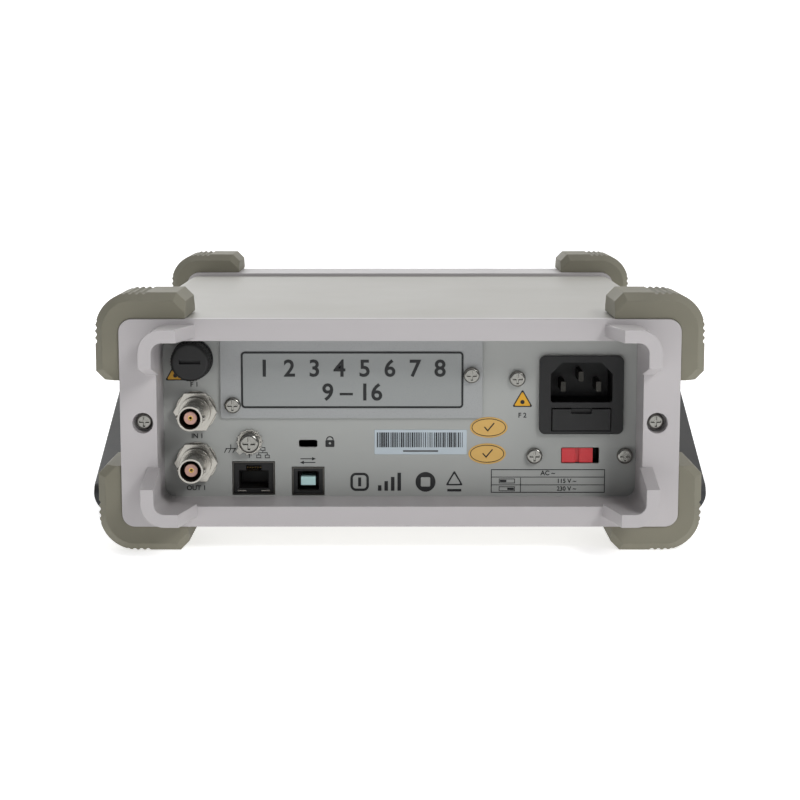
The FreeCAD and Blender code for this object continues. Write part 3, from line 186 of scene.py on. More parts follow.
def group_node(tree, group, **values):
    """A placed group with its inputs set."""
    node = tree.nodes.new("ShaderNodeGroup")
    node.node_tree = group
    for key, value in values.items():
        node.inputs[key.replace("_", " ")].default_value = value
    return node


def finish_material(
    name, base, roughness, metallic=0.0, grain=0.8, depth=0.02, mottle=0.12, mottle_size=30,
    stretch=(1, 1, 1), edge=0.35, worn=None, wear=0.35, dust=0.1, speck=0.0, speck_colour="2A2C2C",
    coat=0.0, alpha=1.0,
):
    """A full surface: mottled colour, specks, worn edges and dust over fine bump. Sizes in mm."""
    made = bpy.data.materials.new(name)
    made.use_nodes = True
    tree = made.node_tree
    shader = tree.nodes["Principled BSDF"]
    grained = group_node(tree, GRAIN, Grain_size=grain * MM, Mottle_size=mottle_size * MM, Stretch=stretch)
    edges = group_node(tree, EDGES, Radius=edge * MM)
    dusty = group_node(tree, DUST, Amount=dust)
    base = colour(base)
    dark = tuple(v * (1 - mottle) for v in base[:3]) + (1,)
    light = tuple(min(1, v * (1 + mottle)) for v in base[:3]) + (1,)
    tint = mix(tree, grained.outputs["Mottle"], dark, light)
    if speck:
        dots = map_range(tree, grained.outputs["Speck"], 0.12, 0.3, speck, 0.0)
        tint = mix(tree, dots, tint, colour(speck_colour))
    if wear:
        amount = maths(tree, "MULTIPLY", edges.outputs["Mask"], wear)
        tint = mix(tree, amount, tint, colour(worn) if worn else light)
    if dust:
        tint = mix(tree, dusty.outputs["Mask"], tint, colour(DUST_COLOUR))
    tree.links.new(tint, shader.inputs["Base Color"])
    glossiest, dullest = max(0.03, roughness - 0.06), min(1, roughness + 0.08)
    rough = map_range(tree, grained.outputs["Mottle"], 0.2, 0.8, glossiest, dullest)
    tree.links.new(rough, shader.inputs["Roughness"])
    bump = add(
        tree, "ShaderNodeBump", None,
        Height=grained.outputs["Height"], Normal=edges.outputs["Normal"], Strength=0.6,
    )
    bump.inputs["Distance"].default_value = depth * MM
    tree.links.new(bump.outputs[0], shader.inputs["Normal"])
    shader.inputs["Metallic"].default_value = metallic
    shader.inputs["Coat Weight"].default_value = coat
    if alpha < 1:
        shader.inputs["Alpha"].default_value = alpha
    return made


SURFACES = {
    "cover_paint": dict(
        base="A5A39C", roughness=0.42, grain=0.5, depth=0.03, mottle=0.05, mottle_size=60, dust=0.1,
    ),
    "frame_plastic": dict(
        base="B7B3B4", roughness=0.38, grain=0.35, depth=0.012, mottle=0.04, edge=0.5, dust=0.06,
    ),
    "bumper_rubber": dict(
        base="7A7768", roughness=0.7, grain=0.45, depth=0.05, mottle=0.1, mottle_size=18, edge=0.7,
        worn="A39E8C", wear=0.4, dust=0.25,
    ),
    "charcoal_plastic": dict(
        base="2C2D30", roughness=0.5, grain=0.6, depth=0.04, mottle=0.12, edge=0.6, worn="55565A",
    ),
    "panel_paint": dict(
        base="A5A7A4", roughness=0.45, grain=0.6, depth=0.02, mottle=0.05, mottle_size=50, edge=0.2,
        dust=0.05,
    ),
    "plate_paint": dict(
        base="9FA1A1", roughness=0.42, grain=0.55, depth=0.02, mottle=0.04, edge=0.3, speck=0.35,
        speck_colour="6E7474", dust=0.04,
    ),
    "label_film": dict(
        base="939695", roughness=0.35, grain=0.4, depth=0.008, mottle=0.03, speck=0.45,
        speck_colour="747D80", edge=0.1,
    ),
    "black_plastic": dict(
        base="060607", roughness=0.5, grain=0.5, depth=0.01, mottle=0.2, edge=0.35, worn="1C1C1E",
        dust=0.015,
    ),
    "nickel": dict(
        base="A8A59E", roughness=0.17, metallic=1.0, grain=0.4, depth=0.006, mottle=0.08, mottle_size=3,
        edge=0.25, wear=0.2, dust=0.03,
    ),
    "zinc_steel": dict(
        base="8E8D88", roughness=0.2, metallic=1.0, grain=0.3, depth=0.01, mottle=0.15, mottle_size=2,
        edge=0.2, dust=0.05,
    ),
    "brushed_sheet": dict(
        base="A8AAAC", roughness=0.35, metallic=1.0, grain=0.4, depth=0.01, stretch=(1, 14, 1),
        mottle=0.1, edge=0.2,
    ),
    "pink_insulator": dict(
        base="C99C8E", roughness=0.35, grain=0.3, depth=0.004, mottle=0.06, mottle_size=2, edge=0.2,
    ),
    "gold_plate": dict(
        base="D6AF66", roughness=0.25, metallic=1.0, grain=0.2, depth=0.004, mottle=0.1, mottle_size=2,
        edge=0.1,
    ),
    "teal_plastic": dict(
        base="BFE3E1", roughness=0.4, grain=0.3, depth=0.006, mottle=0.05, mottle_size=3, edge=0.2,
    ),
    "port_black": dict(
        base="0B0D0D", roughness=0.45, grain=0.3, depth=0.006, mottle=0.1, mottle_size=3, edge=0.2,
    ),
    "port_metal": dict(
        base="55534F", roughness=0.3, metallic=1.0, grain=0.4, depth=0.006, mottle=0.1, mottle_size=3,
        edge=0.2, dust=0.0,
    ),
    # painted shade: the mains pins' metal is darkened to stand for the shade deep in the inlet's recess
    "pin_metal": dict(
        base="3C3B38", roughness=0.4, metallic=1.0, grain=0.4, depth=0.006, mottle=0.1, mottle_size=3,
        edge=0.2, dust=0.0,
    ),
    # painted shade: a dark, half-metallic colour for the sleeve that stands for the shade inside the signal
    # sockets' mouths
    "dark_bore": dict(
        base="3A302C", roughness=0.4, metallic=0.7, grain=0.3, depth=0.004, mottle=0.2, mottle_size=2,
        edge=0.1,
    ),
    "slider_red": dict(
        base="D92A33", roughness=0.32, grain=0.4, depth=0.01, mottle=0.08, mottle_size=4, edge=0.3,
        worn="F06A6A",
    ),
    "fuse_glass": dict(
        base="D8E0DE", roughness=0.08, grain=0.3, depth=0.002, mottle=0.03, edge=0.1, alpha=0.45,
    ),
    "smoked_window": dict(
        base="101216", roughness=0.07, grain=0.5, depth=0.001, mottle=0.15, edge=0.3, dust=0.01, coat=0.5,
        alpha=0.5,
    ),
    "key_plastic": dict(
        base="8B8D90", roughness=0.45, grain=0.4, depth=0.02, mottle=0.06, mottle_size=8, edge=0.3,
        worn="A6A8AA",
    ),
    "key_dark": dict(
        base="3C3F44", roughness=0.45, grain=0.4, depth=0.02, mottle=0.08, mottle_size=8, edge=0.3,
        worn="6A6C70",
    ),
    "jack_red": dict(
        base="B3191C", roughness=0.3, grain=0.4, depth=0.008, mottle=0.08, mottle_size=5, edge=0.3,
        worn="D8585A",
    ),
    "jack_black": dict(
        base="121214", roughness=0.3, grain=0.4, depth=0.008, mottle=0.15, mottle_size=5, edge=0.3,
        worn="45454A",
    ),
    "board_mask": dict(
        base="1D5A33", roughness=0.3, grain=1.2, depth=0.02, mottle=0.2, mottle_size=6, edge=0.1,
    ),
    "core_varnish": dict(
        base="3B3632", roughness=0.4, grain=0.5, depth=0.05, stretch=(1, 30, 1), mottle=0.25,
        mottle_size=6,
    ),
    "ink": dict(
        base="101214", roughness=0.5, grain=0.5, depth=0.004, mottle=0.2, mottle_size=3, wear=0,
        dust=0.02,
    ),
    "grey_ink": dict(
        base="5C6062", roughness=0.5, grain=0.5, depth=0.004, mottle=0.15, mottle_size=3, wear=0,
        dust=0.02,
    ),
    "amber_ink": dict(
        base="DDA521", roughness=0.45, grain=0.5, depth=0.004, mottle=0.06, mottle_size=3, wear=0,
        dust=0.02,
    ),
    "sticker_blue": dict(
        base="B9C4CB", roughness=0.35, grain=0.5, depth=0.006, mottle=0.03, mottle_size=10, wear=0,
        dust=0.02,
    ),
    "sticker_gold": dict(
        base="C9A35F", roughness=0.35, metallic=0.55, grain=0.4, depth=0.01, mottle=0.08, mottle_size=5,
        wear=0,
    ),
    "digit_glow": dict(base="BDEBFF", roughness=0.4, grain=0.5, depth=0.002, mottle=0.05, wear=0, dust=0),
}
MATERIALS = {name: finish_material(name, **surface) for name, surface in SURFACES.items()}
glow = MATERIALS["digit_glow"].node_tree.nodes["Principled BSDF"]
glow.inputs["Emission Color"].default_value = colour("9FE0FF")
glow.inputs["Emission Strength"].default_value = 2.4


def dress(material, *nodes):
    """Gives CAD nodes their material."""
    for node in nodes:
        for place in NODES[node].material_slots:
            place.material = MATERIALS[material]


def named(part):
    """The CAD nodes whose names hold a word."""
    return [node for node in NODES if part in node]


DRESSED = {
    "cover_paint": ["cover_sleeve"],
    "frame_plastic": ["rear_frame", "front_bezel"],
    "bumper_rubber": named("bumper"),
    "charcoal_plastic": ["carry_handle", "handle_pivots"],
    "panel_paint": ["rear_panel"],
    "plate_paint": ["option_cover"],
    "black_plastic": [
        "fuse_holder", "fuse_cap", "fuse_carrier", "inlet_body", "inlet_fuse_drawer", "selector_body",
        "lan_insert", "display_module",
    ],
    "nickel": ["bnc_shells", "bnc_nuts", "usb_host_port", "ground_lug"],
    "port_metal": ["lan_shield", "usb_shell"],
    # the mains pins get the darkened metal: painted shade for their recess
    "pin_metal": ["inlet_pins"],
    "zinc_steel": ["option_cover_screws", "rear_panel_screws", "rear_frame_screws", "ground_screw"],
    "brushed_sheet": ["chassis_tray"],
    "pink_insulator": ["bnc_insulators"],
    "gold_plate": ["bnc_contacts", "jack_contacts"],
    "port_black": ["usb_tongue"],
    "slider_red": ["selector_slider"],
    "fuse_glass": ["current_fuse", "mains_fuse"],
    "smoked_window": ["display_window"],
    "key_plastic": named("function_key"),
    "key_dark": named("soft_key") + ["power_key"],
    "jack_red": ["jack_sleeves_red"],
    "jack_black": ["jack_sleeves_black"],
    "board_mask": ["main_board", "front_board"],
    "core_varnish": ["transformer"],
}
for finish, nodes in DRESSED.items():
    dress(finish, *nodes)


# ---------------------------------------------------------------- mesh helpers

def new_piece(name, mesh, finish, body):
    """Puts a finished mesh in the scene, with its material and body."""
    piece = bpy.data.objects.new(name, mesh)
    bpy.context.scene.collection.objects.link(piece)
    if finish:
        mesh.materials.clear()
        mesh.materials.append(MATERIALS[finish])
    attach(piece, body)
    return piece


def clean_copy(node):
    """A CAD node's mesh with its loose triangles joined and flat faces merged."""
    mesh = bpy.data.meshes.new(f"{node}_joined")
    work = bmesh.new()
    work.from_mesh(NODES[node].data)
    bmesh.ops.remove_doubles(work, verts=work.verts, dist=0.004 * MM)
    bmesh.ops.dissolve_limit(work, angle_limit=math.radians(0.8), verts=work.verts, edges=work.edges)
    points = [vertex.co.copy() for vertex in work.verts]
    order = {vertex: i for i, vertex in enumerate(work.verts)}
    faces = [[order[vertex] for vertex in face.verts] for face in work.faces]
    work.free()
    mesh.from_pydata(points, [], faces)
    mesh.update()
    return mesh


def softened(node, finish, body, width, segments=3, angle=24):
    """Stands for a CAD node with the same shape and really rounded edges."""
    piece = new_piece(f"{node}_moulding", clean_copy(node), finish, body)
    bevel = piece.modifiers.new("round edges", "BEVEL")
    bevel.width = width * MM
    bevel.segments = segments
    bevel.limit_method = "ANGLE"
    bevel.angle_limit = math.radians(angle)
    bevel.use_clamp_overlap = True
    bevel.miter_outer = "MITER_ARC"
    for face in piece.data.polygons:
        face.use_smooth = True
    keep = piece.modifiers.new("even shading", "WEIGHTED_NORMAL")
    keep.keep_sharp = True
    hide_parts(node)
    return piece


def make_mouldings():
    """The mouldings that show most get truly rounded edges."""
    softened("rear_frame", "frame_plastic", "case", 0.7)
    softened("front_bezel", "frame_plastic", "case", 0.4)
    softened("carry_handle", "charcoal_plastic", "handle", 1.2)
    for node in named("bumper"):
        softened(node, "bumper_rubber", "case", 1.9, segments=5)
    softened("option_cover", "plate_paint", "case", 0.3)
    softened("bnc_nuts", "nickel", "case", 0.25)


make_mouldings()


# ---------------------------------------------------------------- prints and stickers

def rectangle(u, v, width, height, radius=0.0):
    """A rectangle by its middle, its corners rounded where a radius is given. Millimetres."""
    if not radius:
        return [(u + a * width / 2, v + b * height / 2) for a, b in ((-1, -1), (1, -1), (1, 1), (-1, 1))]
    points = []
    for quarter, (a, b) in enumerate(((1, 1), (-1, 1), (-1, -1), (1, -1))):
        for step in range(7):
            angle = math.radians(90 * quarter + 15 * step)
            centre = (u + a * (width / 2 - radius), v + b * (height / 2 - radius))
            points.append((centre[0] + radius * math.cos(angle), centre[1] + radius * math.sin(angle)))
    return points


def ellipse(u, v, width, height=None, start=0, end=360, steps=40):
    """An ellipse, or the points of part of one."""
    height = width if height is None else height
    whole = end - start == 360
    count = steps if whole else steps + 1
    angles = [math.radians(start + (end - start) * i / steps) for i in range(count)]
    return [(u + width / 2 * math.cos(a), v + height / 2 * math.sin(a)) for a in angles]


def band(u, v, outer, inner, start, end):
    """Part of a flat ring, between two diameters."""
    return ellipse(u, v, outer, None, start, end, 16) + ellipse(u, v, inner, None, start, end, 16)[::-1]


def bar(u1, v1, u2, v2, width):
    """A straight stroke between two points."""
    along = Vector((u2 - u1, v2 - v1)).normalized() * width / 2
    across = Vector((-along.y, along.x))
    ends = (Vector((u1, v1)) - along, Vector((u2, v2)) + along)
    return [tuple(p) for p in (ends[0] - across, ends[1] - across, ends[1] + across, ends[0] + across)]


def frame_of(u, v, width, height, line, radius=0.0):
    """A rectangular outline of even width, as its outer and inner edge."""
    inner = max(0.01, radius - line) if radius else 0.0
    hole = rectangle(u, v, width - line * 2, height - line * 2, inner)
    return [rectangle(u, v, width, height, radius), hole]


class Print:
    """Flat shapes and lettering of one ink on one face, made into one thin piece."""

    def __init__(self, name, ink, face, level, body="case", slot="panel_paint", depth=INK_DEPTH):
        self.name, self.ink, self.face, self.level = name, ink, face, level
        self.body, self.slot, self.depth = body, slot, depth
        self.shapes, self.words = [], []

    def shape(self, *loops):
        """One filled shape: an outer loop with any holes in it."""
        self.shapes.append(loops)

    def word(self, text, u, v, size):
        """A line of lettering by its middle."""
        self.words.append((text, u, v, size))

    def build(self):
        """Fills, thickens and stands the print on its face."""
        work = bmesh.new()
        for loops in self.shapes:
            self._add(work, self._filled(loops))
        for text, u, v, size in self.words:
            self._add(work, self._lettered(text, size), u, v)
        bmesh.ops.recalc_face_normals(work, faces=work.faces)
        mesh = bpy.data.meshes.new(self.name)
        work.to_mesh(mesh)
        work.free()
        return new_piece(self.name, mesh, self.ink, self.body)

    @staticmethod
    def _filled(loops):
        """A filled curve of an outer loop and its holes."""
        curve = bpy.data.curves.new("flat", "CURVE")
        curve.dimensions = "2D"
        curve.fill_mode = "BOTH"
        for loop in loops:
            spline = curve.splines.new("POLY")
            spline.points.add(len(loop) - 1)
            for point, (u, v) in zip(spline.points, loop):
                point.co = (u, v, 0, 1)
            spline.use_cyclic_u = True
        return curve

    @staticmethod
    def _lettered(text, size):
        """A line of lettering about its own middle."""
        curve = bpy.data.curves.new("lettering", "FONT")
        curve.body = text
        curve.size = size
        curve.align_x = "CENTER"
        curve.align_y = "CENTER"
        curve.resolution_u = 4
        curve.offset = LETTER_WEIGHT * size
        return curve

    def _add(self, work, curve, middle_u=0, middle_v=0):
        """Thickens a flat curve, stands it on the face and adds it to the print's mesh."""
        curve.extrude = self.depth / MM / 2
        holder = bpy.data.objects.new("flat", curve)
        bpy.context.scene.collection.objects.link(holder)
        flat = bpy.data.meshes.new_from_object(holder.evaluated_get(bpy.context.evaluated_depsgraph_get()))
        turn = RIGHT_WAY[self.face]
        outward = 1 if self.face == "rear" else -1
        for vertex in flat.vertices:
            u, v, lift = vertex.co
            spot = turn @ Vector(((u + middle_u) * MM, (v + middle_v) * MM, 0))
            spot.y = self.level + outward * (lift * MM + self.depth / 2)
            vertex.co = spot
        bpy.data.objects.remove(holder)
        merged = bmesh.new()
        merged.from_mesh(flat)
        bmesh.ops.remove_doubles(merged, verts=merged.verts, dist=MERGE_GAP)
        merged.to_mesh(flat)
        merged.free()
        work.from_mesh(flat)


def low(height):
    """A height above the body's bottom as a height above the bench, in mm."""
    return height + BODY_LOW / MM


def triangle(u, v, side, inset=0.0):
    """An upright triangle with slightly cut corners, all of it moved in by the inset."""
    cut = 0.07
    reach = side / math.sqrt(3) - inset
    turns = [math.radians(angle) for angle in (90, 210, 330)]
    corners = [(u + reach * math.cos(turn), v + reach * math.sin(turn)) for turn in turns]
    points = []
    for i, corner in enumerate(corners):
        for other in (corners[i - 1], corners[(i + 1) % 3]):
            points.append(tuple(corner[k] + (other[k] - corner[k]) * cut for k in (0, 1)))
    return points


def make_option_label():
    """The film label on the blank plate: a rounded outline and two lines of numbers."""
    u, v, width, height, corner = -18.9, low(55), 88, 22.6, 1.6
    line, letters = 0.8, 9.4
    film = Print("option_label", "label_film", "rear", PLATE_Y, slot="plate_paint", depth=LABEL_DEPTH)
    film.shape(rectangle(u, v, width, height, corner))
    film.build()
    ink = Print("option_label_print", "ink", "rear", PLATE_Y + LABEL_DEPTH, slot="plate_paint")
    ink.shape(*frame_of(u, v, width, height, line, corner))
    ink.word("1  2  3  4  5  6  7  8", u, v + 4.3, letters)
    ink.word("9 – 16", u, v - 5.2, letters)
    ink.build()


def make_panel_print():
    """Port names, pictograms and the supply table, placed in mm over the body's bottom."""
    ink = Print("panel_print", "ink", "rear", PANEL_Y)
    for text, u, v, size in (
        ("F 1", -81.5, 53.0, 2.7), ("IN 1", -80.6, 32.3, 2.7), ("OUT 1", -81.3, 11.3, 2.7),
        ("1", -60.0, 24.4, 2.7), ("F 2", 48.6, 40.6, 2.7),
        ("AC ~", 59, 17.3, 2.6), ("115 V ~", 66.5, 14.1, 2.4), ("230 V ~", 66.5, 11.0, 2.4),
    ):
        ink.word(text, u, low(v), size)
    network_mark(ink, -54.6, low(25.6))
    data_mark(ink, -36.7, low(22.4))
    lock_mark(ink, -27.9, low(30.2))
    ground_mark(ink, -67.4, low(26.6))
    supply_table(ink, 59.05, low(14.15), 45.5, 9.5)
    for draw, u in ((box_mark, -16.1), (steps_mark, -4.2), (disc_mark, 10.2), (peak_mark, 21.7)):
        draw(ink, u, low(13.8))
    ink.build()


def network_mark(ink, u, v):
    """Three linked boxes."""
    for du, dv in ((0, 1.5), (-1.7, -1.5), (1.7, -1.5)):
        ink.shape(*frame_of(u + du, v + dv, 1.9, 1.4, 0.28))
    ink.shape(bar(u, v + 0.8, u, v, 0.25))
    ink.shape(bar(u - 1.7, v, u + 1.7, v, 0.25))
    for side in (-1.7, 1.7):
        ink.shape(bar(u + side, v, u + side, v - 0.7, 0.25))


def data_mark(ink, u, v):
    """Two arrows, one each way."""
    for side in (1, -1):
        level = v + side * 0.75
        ink.shape(bar(u - side * 2.8, level, u + side * 1.6, level, 0.35))
        ink.shape([(u + side * 1.6, level - 0.7), (u + side * 3.2, level), (u + side * 1.6, level + 0.7)])


def lock_mark(ink, u, v):
    """A padlock."""
    ink.shape(rectangle(u, v - 0.9, 3.6, 2.8, 0.4), ellipse(u, v - 0.8, 0.9))
    ink.shape(band(u, v + 0.6, 3.0, 2.1, 0, 180))


def ground_mark(ink, u, v):
    """The chassis ground sign: a bar on three slanting strokes."""
    ink.shape(bar(u - 1.9, v + 0.7, u + 1.9, v + 0.7, 0.32))
    ink.shape(bar(u, v + 0.7, u, v + 2.2, 0.32))
    for step in (-1.7, 0, 1.7):
        ink.shape(bar(u + step, v + 0.6, u + step - 0.8, v - 0.9, 0.32))


def supply_table(ink, u, v, width, height):
    """A ruled table of three rows with a switch position drawn in the lower two."""
    ink.shape(*frame_of(u, v, width, height, 0.32))
    row = height / 3
    for step in (-0.5, 0.5):
        ink.shape(rectangle(u, v + row * step, width - 0.5, 0.26))
    split = u - width * 0.24
    ink.shape(rectangle(split, v - row / 2, 0.26, row * 2 - 0.5))
    for step, side in ((0, -1), (-1, 1)):
        centre = (u - width * 0.36, v + row * step)
        ink.shape(*frame_of(centre[0], centre[1], 6.4, 1.9, 0.25))
        ink.shape(rectangle(centre[0] + side * 1.5, centre[1], 2.6, 0.9))


def box_mark(ink, u, v):
    """A rounded box with a bar in it."""
    ink.shape(*frame_of(u, v, 7.4, 7.4, 1.0, 2.2))
    ink.shape(rectangle(u, v, 1.2, 3.6))


def steps_mark(ink, u, v):
    """Four rising bars."""
    for step in range(4):
        tall = 2.2 + step * 1.7
        ink.shape(rectangle(u - 3.9 + step * 2.6, v - 3.6 + tall / 2, 1.4, tall))


def disc_mark(ink, u, v):
    """A disc with a hollow square."""
    ink.shape(ellipse(u, v, 8), rectangle(u, v, 3.8, 3.8, 0.5))


def peak_mark(ink, u, v):
    """An open triangle over a bar."""
    ink.shape(triangle(u, v + 0.6, 7), triangle(u, v + 0.6, 7, 1.2))
    ink.shape(rectangle(u, v - 3.4, 5.6, 1.0))


def make_caution_marks():
    """Two plain amber triangles with a black border and a dot."""
    side, border_width, dot = 8.2, 0.9, 1.7
    places = ((48.6, 47.0), (-89.0, 57.6))
    amber = Print("amber_marks", "amber_ink", "rear", PANEL_Y)
    border = Print("amber_mark_borders", "ink", "rear", PANEL_Y)
    for u, v in places:
        centre = low(v) - 0.6
        amber.shape(triangle(u, centre, side, border_width))
        border.shape(triangle(u, centre, side), triangle(u, centre, side, border_width))
    amber.build()
    border.build()
    dots = Print("amber_mark_dots", "ink", "rear", PANEL_Y + INK_DEPTH)
    for u, v in places:
        dots.shape(ellipse(u, low(v) - 1.0, dot))
    dots.build()


def make_stickers():
    """The striped serial sticker and the two gold inspection ovals, each with a tick."""
    middle = 8.2
    film = Print("serial_sticker", "sticker_blue", "rear", PANEL_Y, depth=STICKER_DEPTH)
    film.shape(rectangle(middle, low(29.9), 36.8, 10, 0.5))
    film.build()
    under = Print("serial_sticker_foot", "grey_ink", "rear", PANEL_Y + STICKER_DEPTH)
    under.shape(rectangle(middle, low(26.3), 14, 0.7))
    under.build()
    gold = Print("inspection_stickers", "sticker_gold", "rear", PANEL_Y, depth=STICKER_DEPTH)
    ticks = Print("inspection_ticks", "ink", "rear", PANEL_Y + STICKER_DEPTH)
    for u, v in ((35.3, 35.8), (34.7, 25.2)):
        v = low(v)
        gold.shape(ellipse(u, v, 15, 8.4))
        ticks.shape(ellipse(u, v, 13.6, 7.2), ellipse(u, v, 13.0, 6.6))
        ticks.shape(bar(u - 1.6, v, u - 0.4, v - 1.3, 0.5))
        ticks.shape(bar(u - 0.4, v - 1.3, u + 2.0, v + 1.6, 0.5))
    gold.build()
    ticks.build()


make_option_label()
make_panel_print()
make_caution_marks()
make_stickers()


# ---------------------------------------------------------------- repeated details, as node trees

def begin_tree(name, inputs):
    """A geometry tree with named inputs."""
    tree = bpy.data.node_groups.new(name, "GeometryNodeTree")
    tree.interface.new_socket("Geometry", in_out="INPUT", socket_type="NodeSocketGeometry")
    for label, kind, default in inputs:
        socket = tree.interface.new_socket(label, in_out="INPUT", socket_type=f"NodeSocket{kind}")
        if default is not None:
            socket.default_value = default
    tree.interface.new_socket("Geometry", in_out="OUTPUT", socket_type="NodeSocketGeometry")
    return tree, tree.nodes.new("NodeGroupInput"), tree.nodes.new("NodeGroupOutput")


def end_tree(tree, end, points, bar_mesh, turn, scale, material):
    """Puts a bar on every point, makes it real and gives it its material."""
    placed = add(tree, "GeometryNodeInstanceOnPoints", None, Points=points, Instance=bar_mesh)
    if turn:
        tree.links.new(turn, placed.inputs["Rotation"])
    if scale:
        tree.links.new(scale, placed.inputs["Scale"])
    real = add(tree, "GeometryNodeRealizeInstances", None, Geometry=placed.outputs[0])
    dressed = add(tree, "GeometryNodeSetMaterial", None, Geometry=real.outputs[0], Material=material)
    tree.links.new(dressed.outputs[0], end.inputs[0])


def make_row_tree():
    """A straight row of bars whose widths may vary at random."""
    tree, start, end = begin_tree("row of bars", [
        ("Start", "Vector", (0, 0, 0)), ("Step", "Vector", (MM, 0, 0)), ("Count", "Int", 8),
        ("Bar size", "Vector", (MM, MM, MM)), ("Least width", "Float", 1.0), ("Seed", "Int", 1),
        ("Turn", "Vector", (0, 0, 0)), ("Material", "Material", None),
    ])
    value = start.outputs
    line = add(
        tree, "GeometryNodeMeshLine", None,
        Count=value["Count"], Start_Location=value["Start"], Offset=value["Step"],
    )
    cube = add(tree, "GeometryNodeMeshCube", None, Size=value["Bar size"])
    width = add(
        tree, "FunctionNodeRandomValue", {"data_type": "FLOAT"},
        i2=value["Least width"], i3=1.0, Seed=value["Seed"],
    )
    size = add(tree, "ShaderNodeCombineXYZ", None, X=width.outputs[1], Y=1.0, Z=1.0)
    end_tree(tree, end, line.outputs[0], cube.outputs[0], value["Turn"], size.outputs[0], value["Material"])
    return tree


def make_ring_tree():
    """A ring of bars about an axis along Y."""
    tree, start, end = begin_tree("ring of bars", [
        ("Middle", "Vector", (0, 0, 0)), ("Radius", "Float", 0.01), ("Count", "Int", 24),
        ("Bar size", "Vector", (MM, MM, MM)), ("Material", "Material", None),
    ])
    value = start.outputs
    circle = add(tree, "GeometryNodeMeshCircle", None, Vertices=value["Count"], Radius=value["Radius"])
    stood = add(
        tree, "GeometryNodeTransform", None, Geometry=circle.outputs[0],
        Translation=value["Middle"], Rotation=(math.pi / 2, 0, 0),
    )
    cube = add(tree, "GeometryNodeMeshCube", None, Size=value["Bar size"])
    index = add(tree, "GeometryNodeInputIndex")
    share = maths(tree, "DIVIDE", index.outputs[0], value["Count"])
    angle = maths(tree, "MULTIPLY", share, -2 * math.pi)
    turn = add(tree, "ShaderNodeCombineXYZ", None, X=0.0, Y=angle, Z=0.0)
    end_tree(tree, end, stood.outputs[0], cube.outputs[0], turn.outputs[0], None, value["Material"])
    return tree


ROW = make_row_tree()
RING = make_ring_tree()


def grow(name, tree, finish, body, slot, **values):
    """Runs a tree once with its inputs set and keeps the plain mesh that it makes."""
    seed = bpy.data.objects.new(f"{name}_seed", bpy.data.meshes.new(f"{name}_seed"))
    bpy.context.scene.collection.objects.link(seed)
    modifier = seed.modifiers.new("tree", "NODES")
    modifier.node_group = tree
    values["Material"] = MATERIALS[finish]
    for item in tree.interface.items_tree:
        label = item.name.replace(" ", "_")
        if item.item_type == "SOCKET" and item.in_out == "INPUT" and label in values:
            value = values[label]
            modifier[item.identifier] = list(value) if isinstance(value, tuple) else value
    ready = seed.evaluated_get(bpy.context.evaluated_depsgraph_get())
    mesh = bpy.data.meshes.new_from_object(ready)
    mesh.name = name
    bpy.data.objects.remove(seed)
    return new_piece(name, mesh, finish, body)


def mm(*values):
    """Millimetres as metres."""
    return tuple(value * MM for value in values)


def middle_of(node):
    """The middle of a CAD node's box in x and z, in metres."""
    near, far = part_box(node)
    return (near.x + far.x) / 2, (near.z + far.z) / 2


def make_serial_bars():
    """The bars on the serial sticker, of random widths."""
    level = (PANEL_Y + STICKER_DEPTH) / MM
    grow(
        "serial_sticker_bars", ROW, "ink", "case", "panel_paint",
        Start=mm(9, level, low(30.8)), Step=mm(-0.735, 0, 0), Count=47, Bar_size=mm(0.66, 0.06, 6),
        Least_width=0.25, Seed=11,
    )


def make_cap_ribs():
    """Grip ribs round the fuse cap."""
    near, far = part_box("fuse_cap")
    x, z = middle_of("fuse_cap")
    grow(
        "fuse_cap_ribs", RING, "black_plastic", "fuse_cap", "black_plastic",
        Middle=(x, (near.y + far.y) / 2 - 0.4 * MM, z), Radius=(far.x - near.x) / 2,
        Count=40, Bar_size=mm(0.5, 6.5, 0.6),
    )


def make_network_contacts():
    """Eight slanting contacts in the network socket."""
    near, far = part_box("lan_insert")
    count, pitch = 8, 1.02
    first = middle_of("lan_insert")[0] / MM - pitch * (count - 1) / 2
    grow(
        "network_contacts", ROW, "gold_plate", "case", "gold_contact",
        Start=mm(first, far.y / MM - 6, near.z / MM + 8.6), Step=mm(pitch, 0, 0),
        Count=count, Bar_size=mm(0.42, 9, 0.35), Turn=(0.35, 0, 0),
    )


def make_lug_teeth():
    """Teeth round the ground lug."""
    near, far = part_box("ground_lug")
    x, z = middle_of("ground_lug")
    grow(
        "ground_lug_teeth", RING, "zinc_steel", "case", "nickel",
        Middle=(x, near.y + 0.5 * MM, z), Radius=(far.x - near.x) / 2,
        Count=14, Bar_size=mm(0.9, 0.7, 0.9),
    )


make_serial_bars()
make_cap_ribs()
make_network_contacts()
make_lug_teeth()


# ---------------------------------------------------------------- small port and socket details

def prism(work, outline, front, back):
    """Adds a closed prism along Y to a bmesh; outline in metres, x and z."""
    loops = [[work.verts.new((x, y, z)) for x, z in outline] for y in (front, back)]
    work.faces.new(loops[0])
    work.faces.new(loops[1][::-1])
    for i in range(len(outline)):
        j = (i + 1) % len(outline)
        work.faces.new((loops[0][i], loops[1][i], loops[1][j], loops[0][j]))


def solid_piece(name, finish, body, prisms):
    """One piece of prisms, each an outline with its two ends along Y."""
    work = bmesh.new()
    for outline, front, back in prisms:
        prism(work, outline, front, back)
    bmesh.ops.recalc_face_normals(work, faces=work.faces)
    mesh = bpy.data.meshes.new(name)
    work.to_mesh(mesh)
    work.free()
    return new_piece(name, mesh, finish, body)


def plate(x, z, width, height):
    """A rectangle in x and z by its middle."""
    return [(x + a * width / 2, z + b * height / 2) for a, b in ((-1, -1), (1, -1), (1, 1), (-1, 1))]


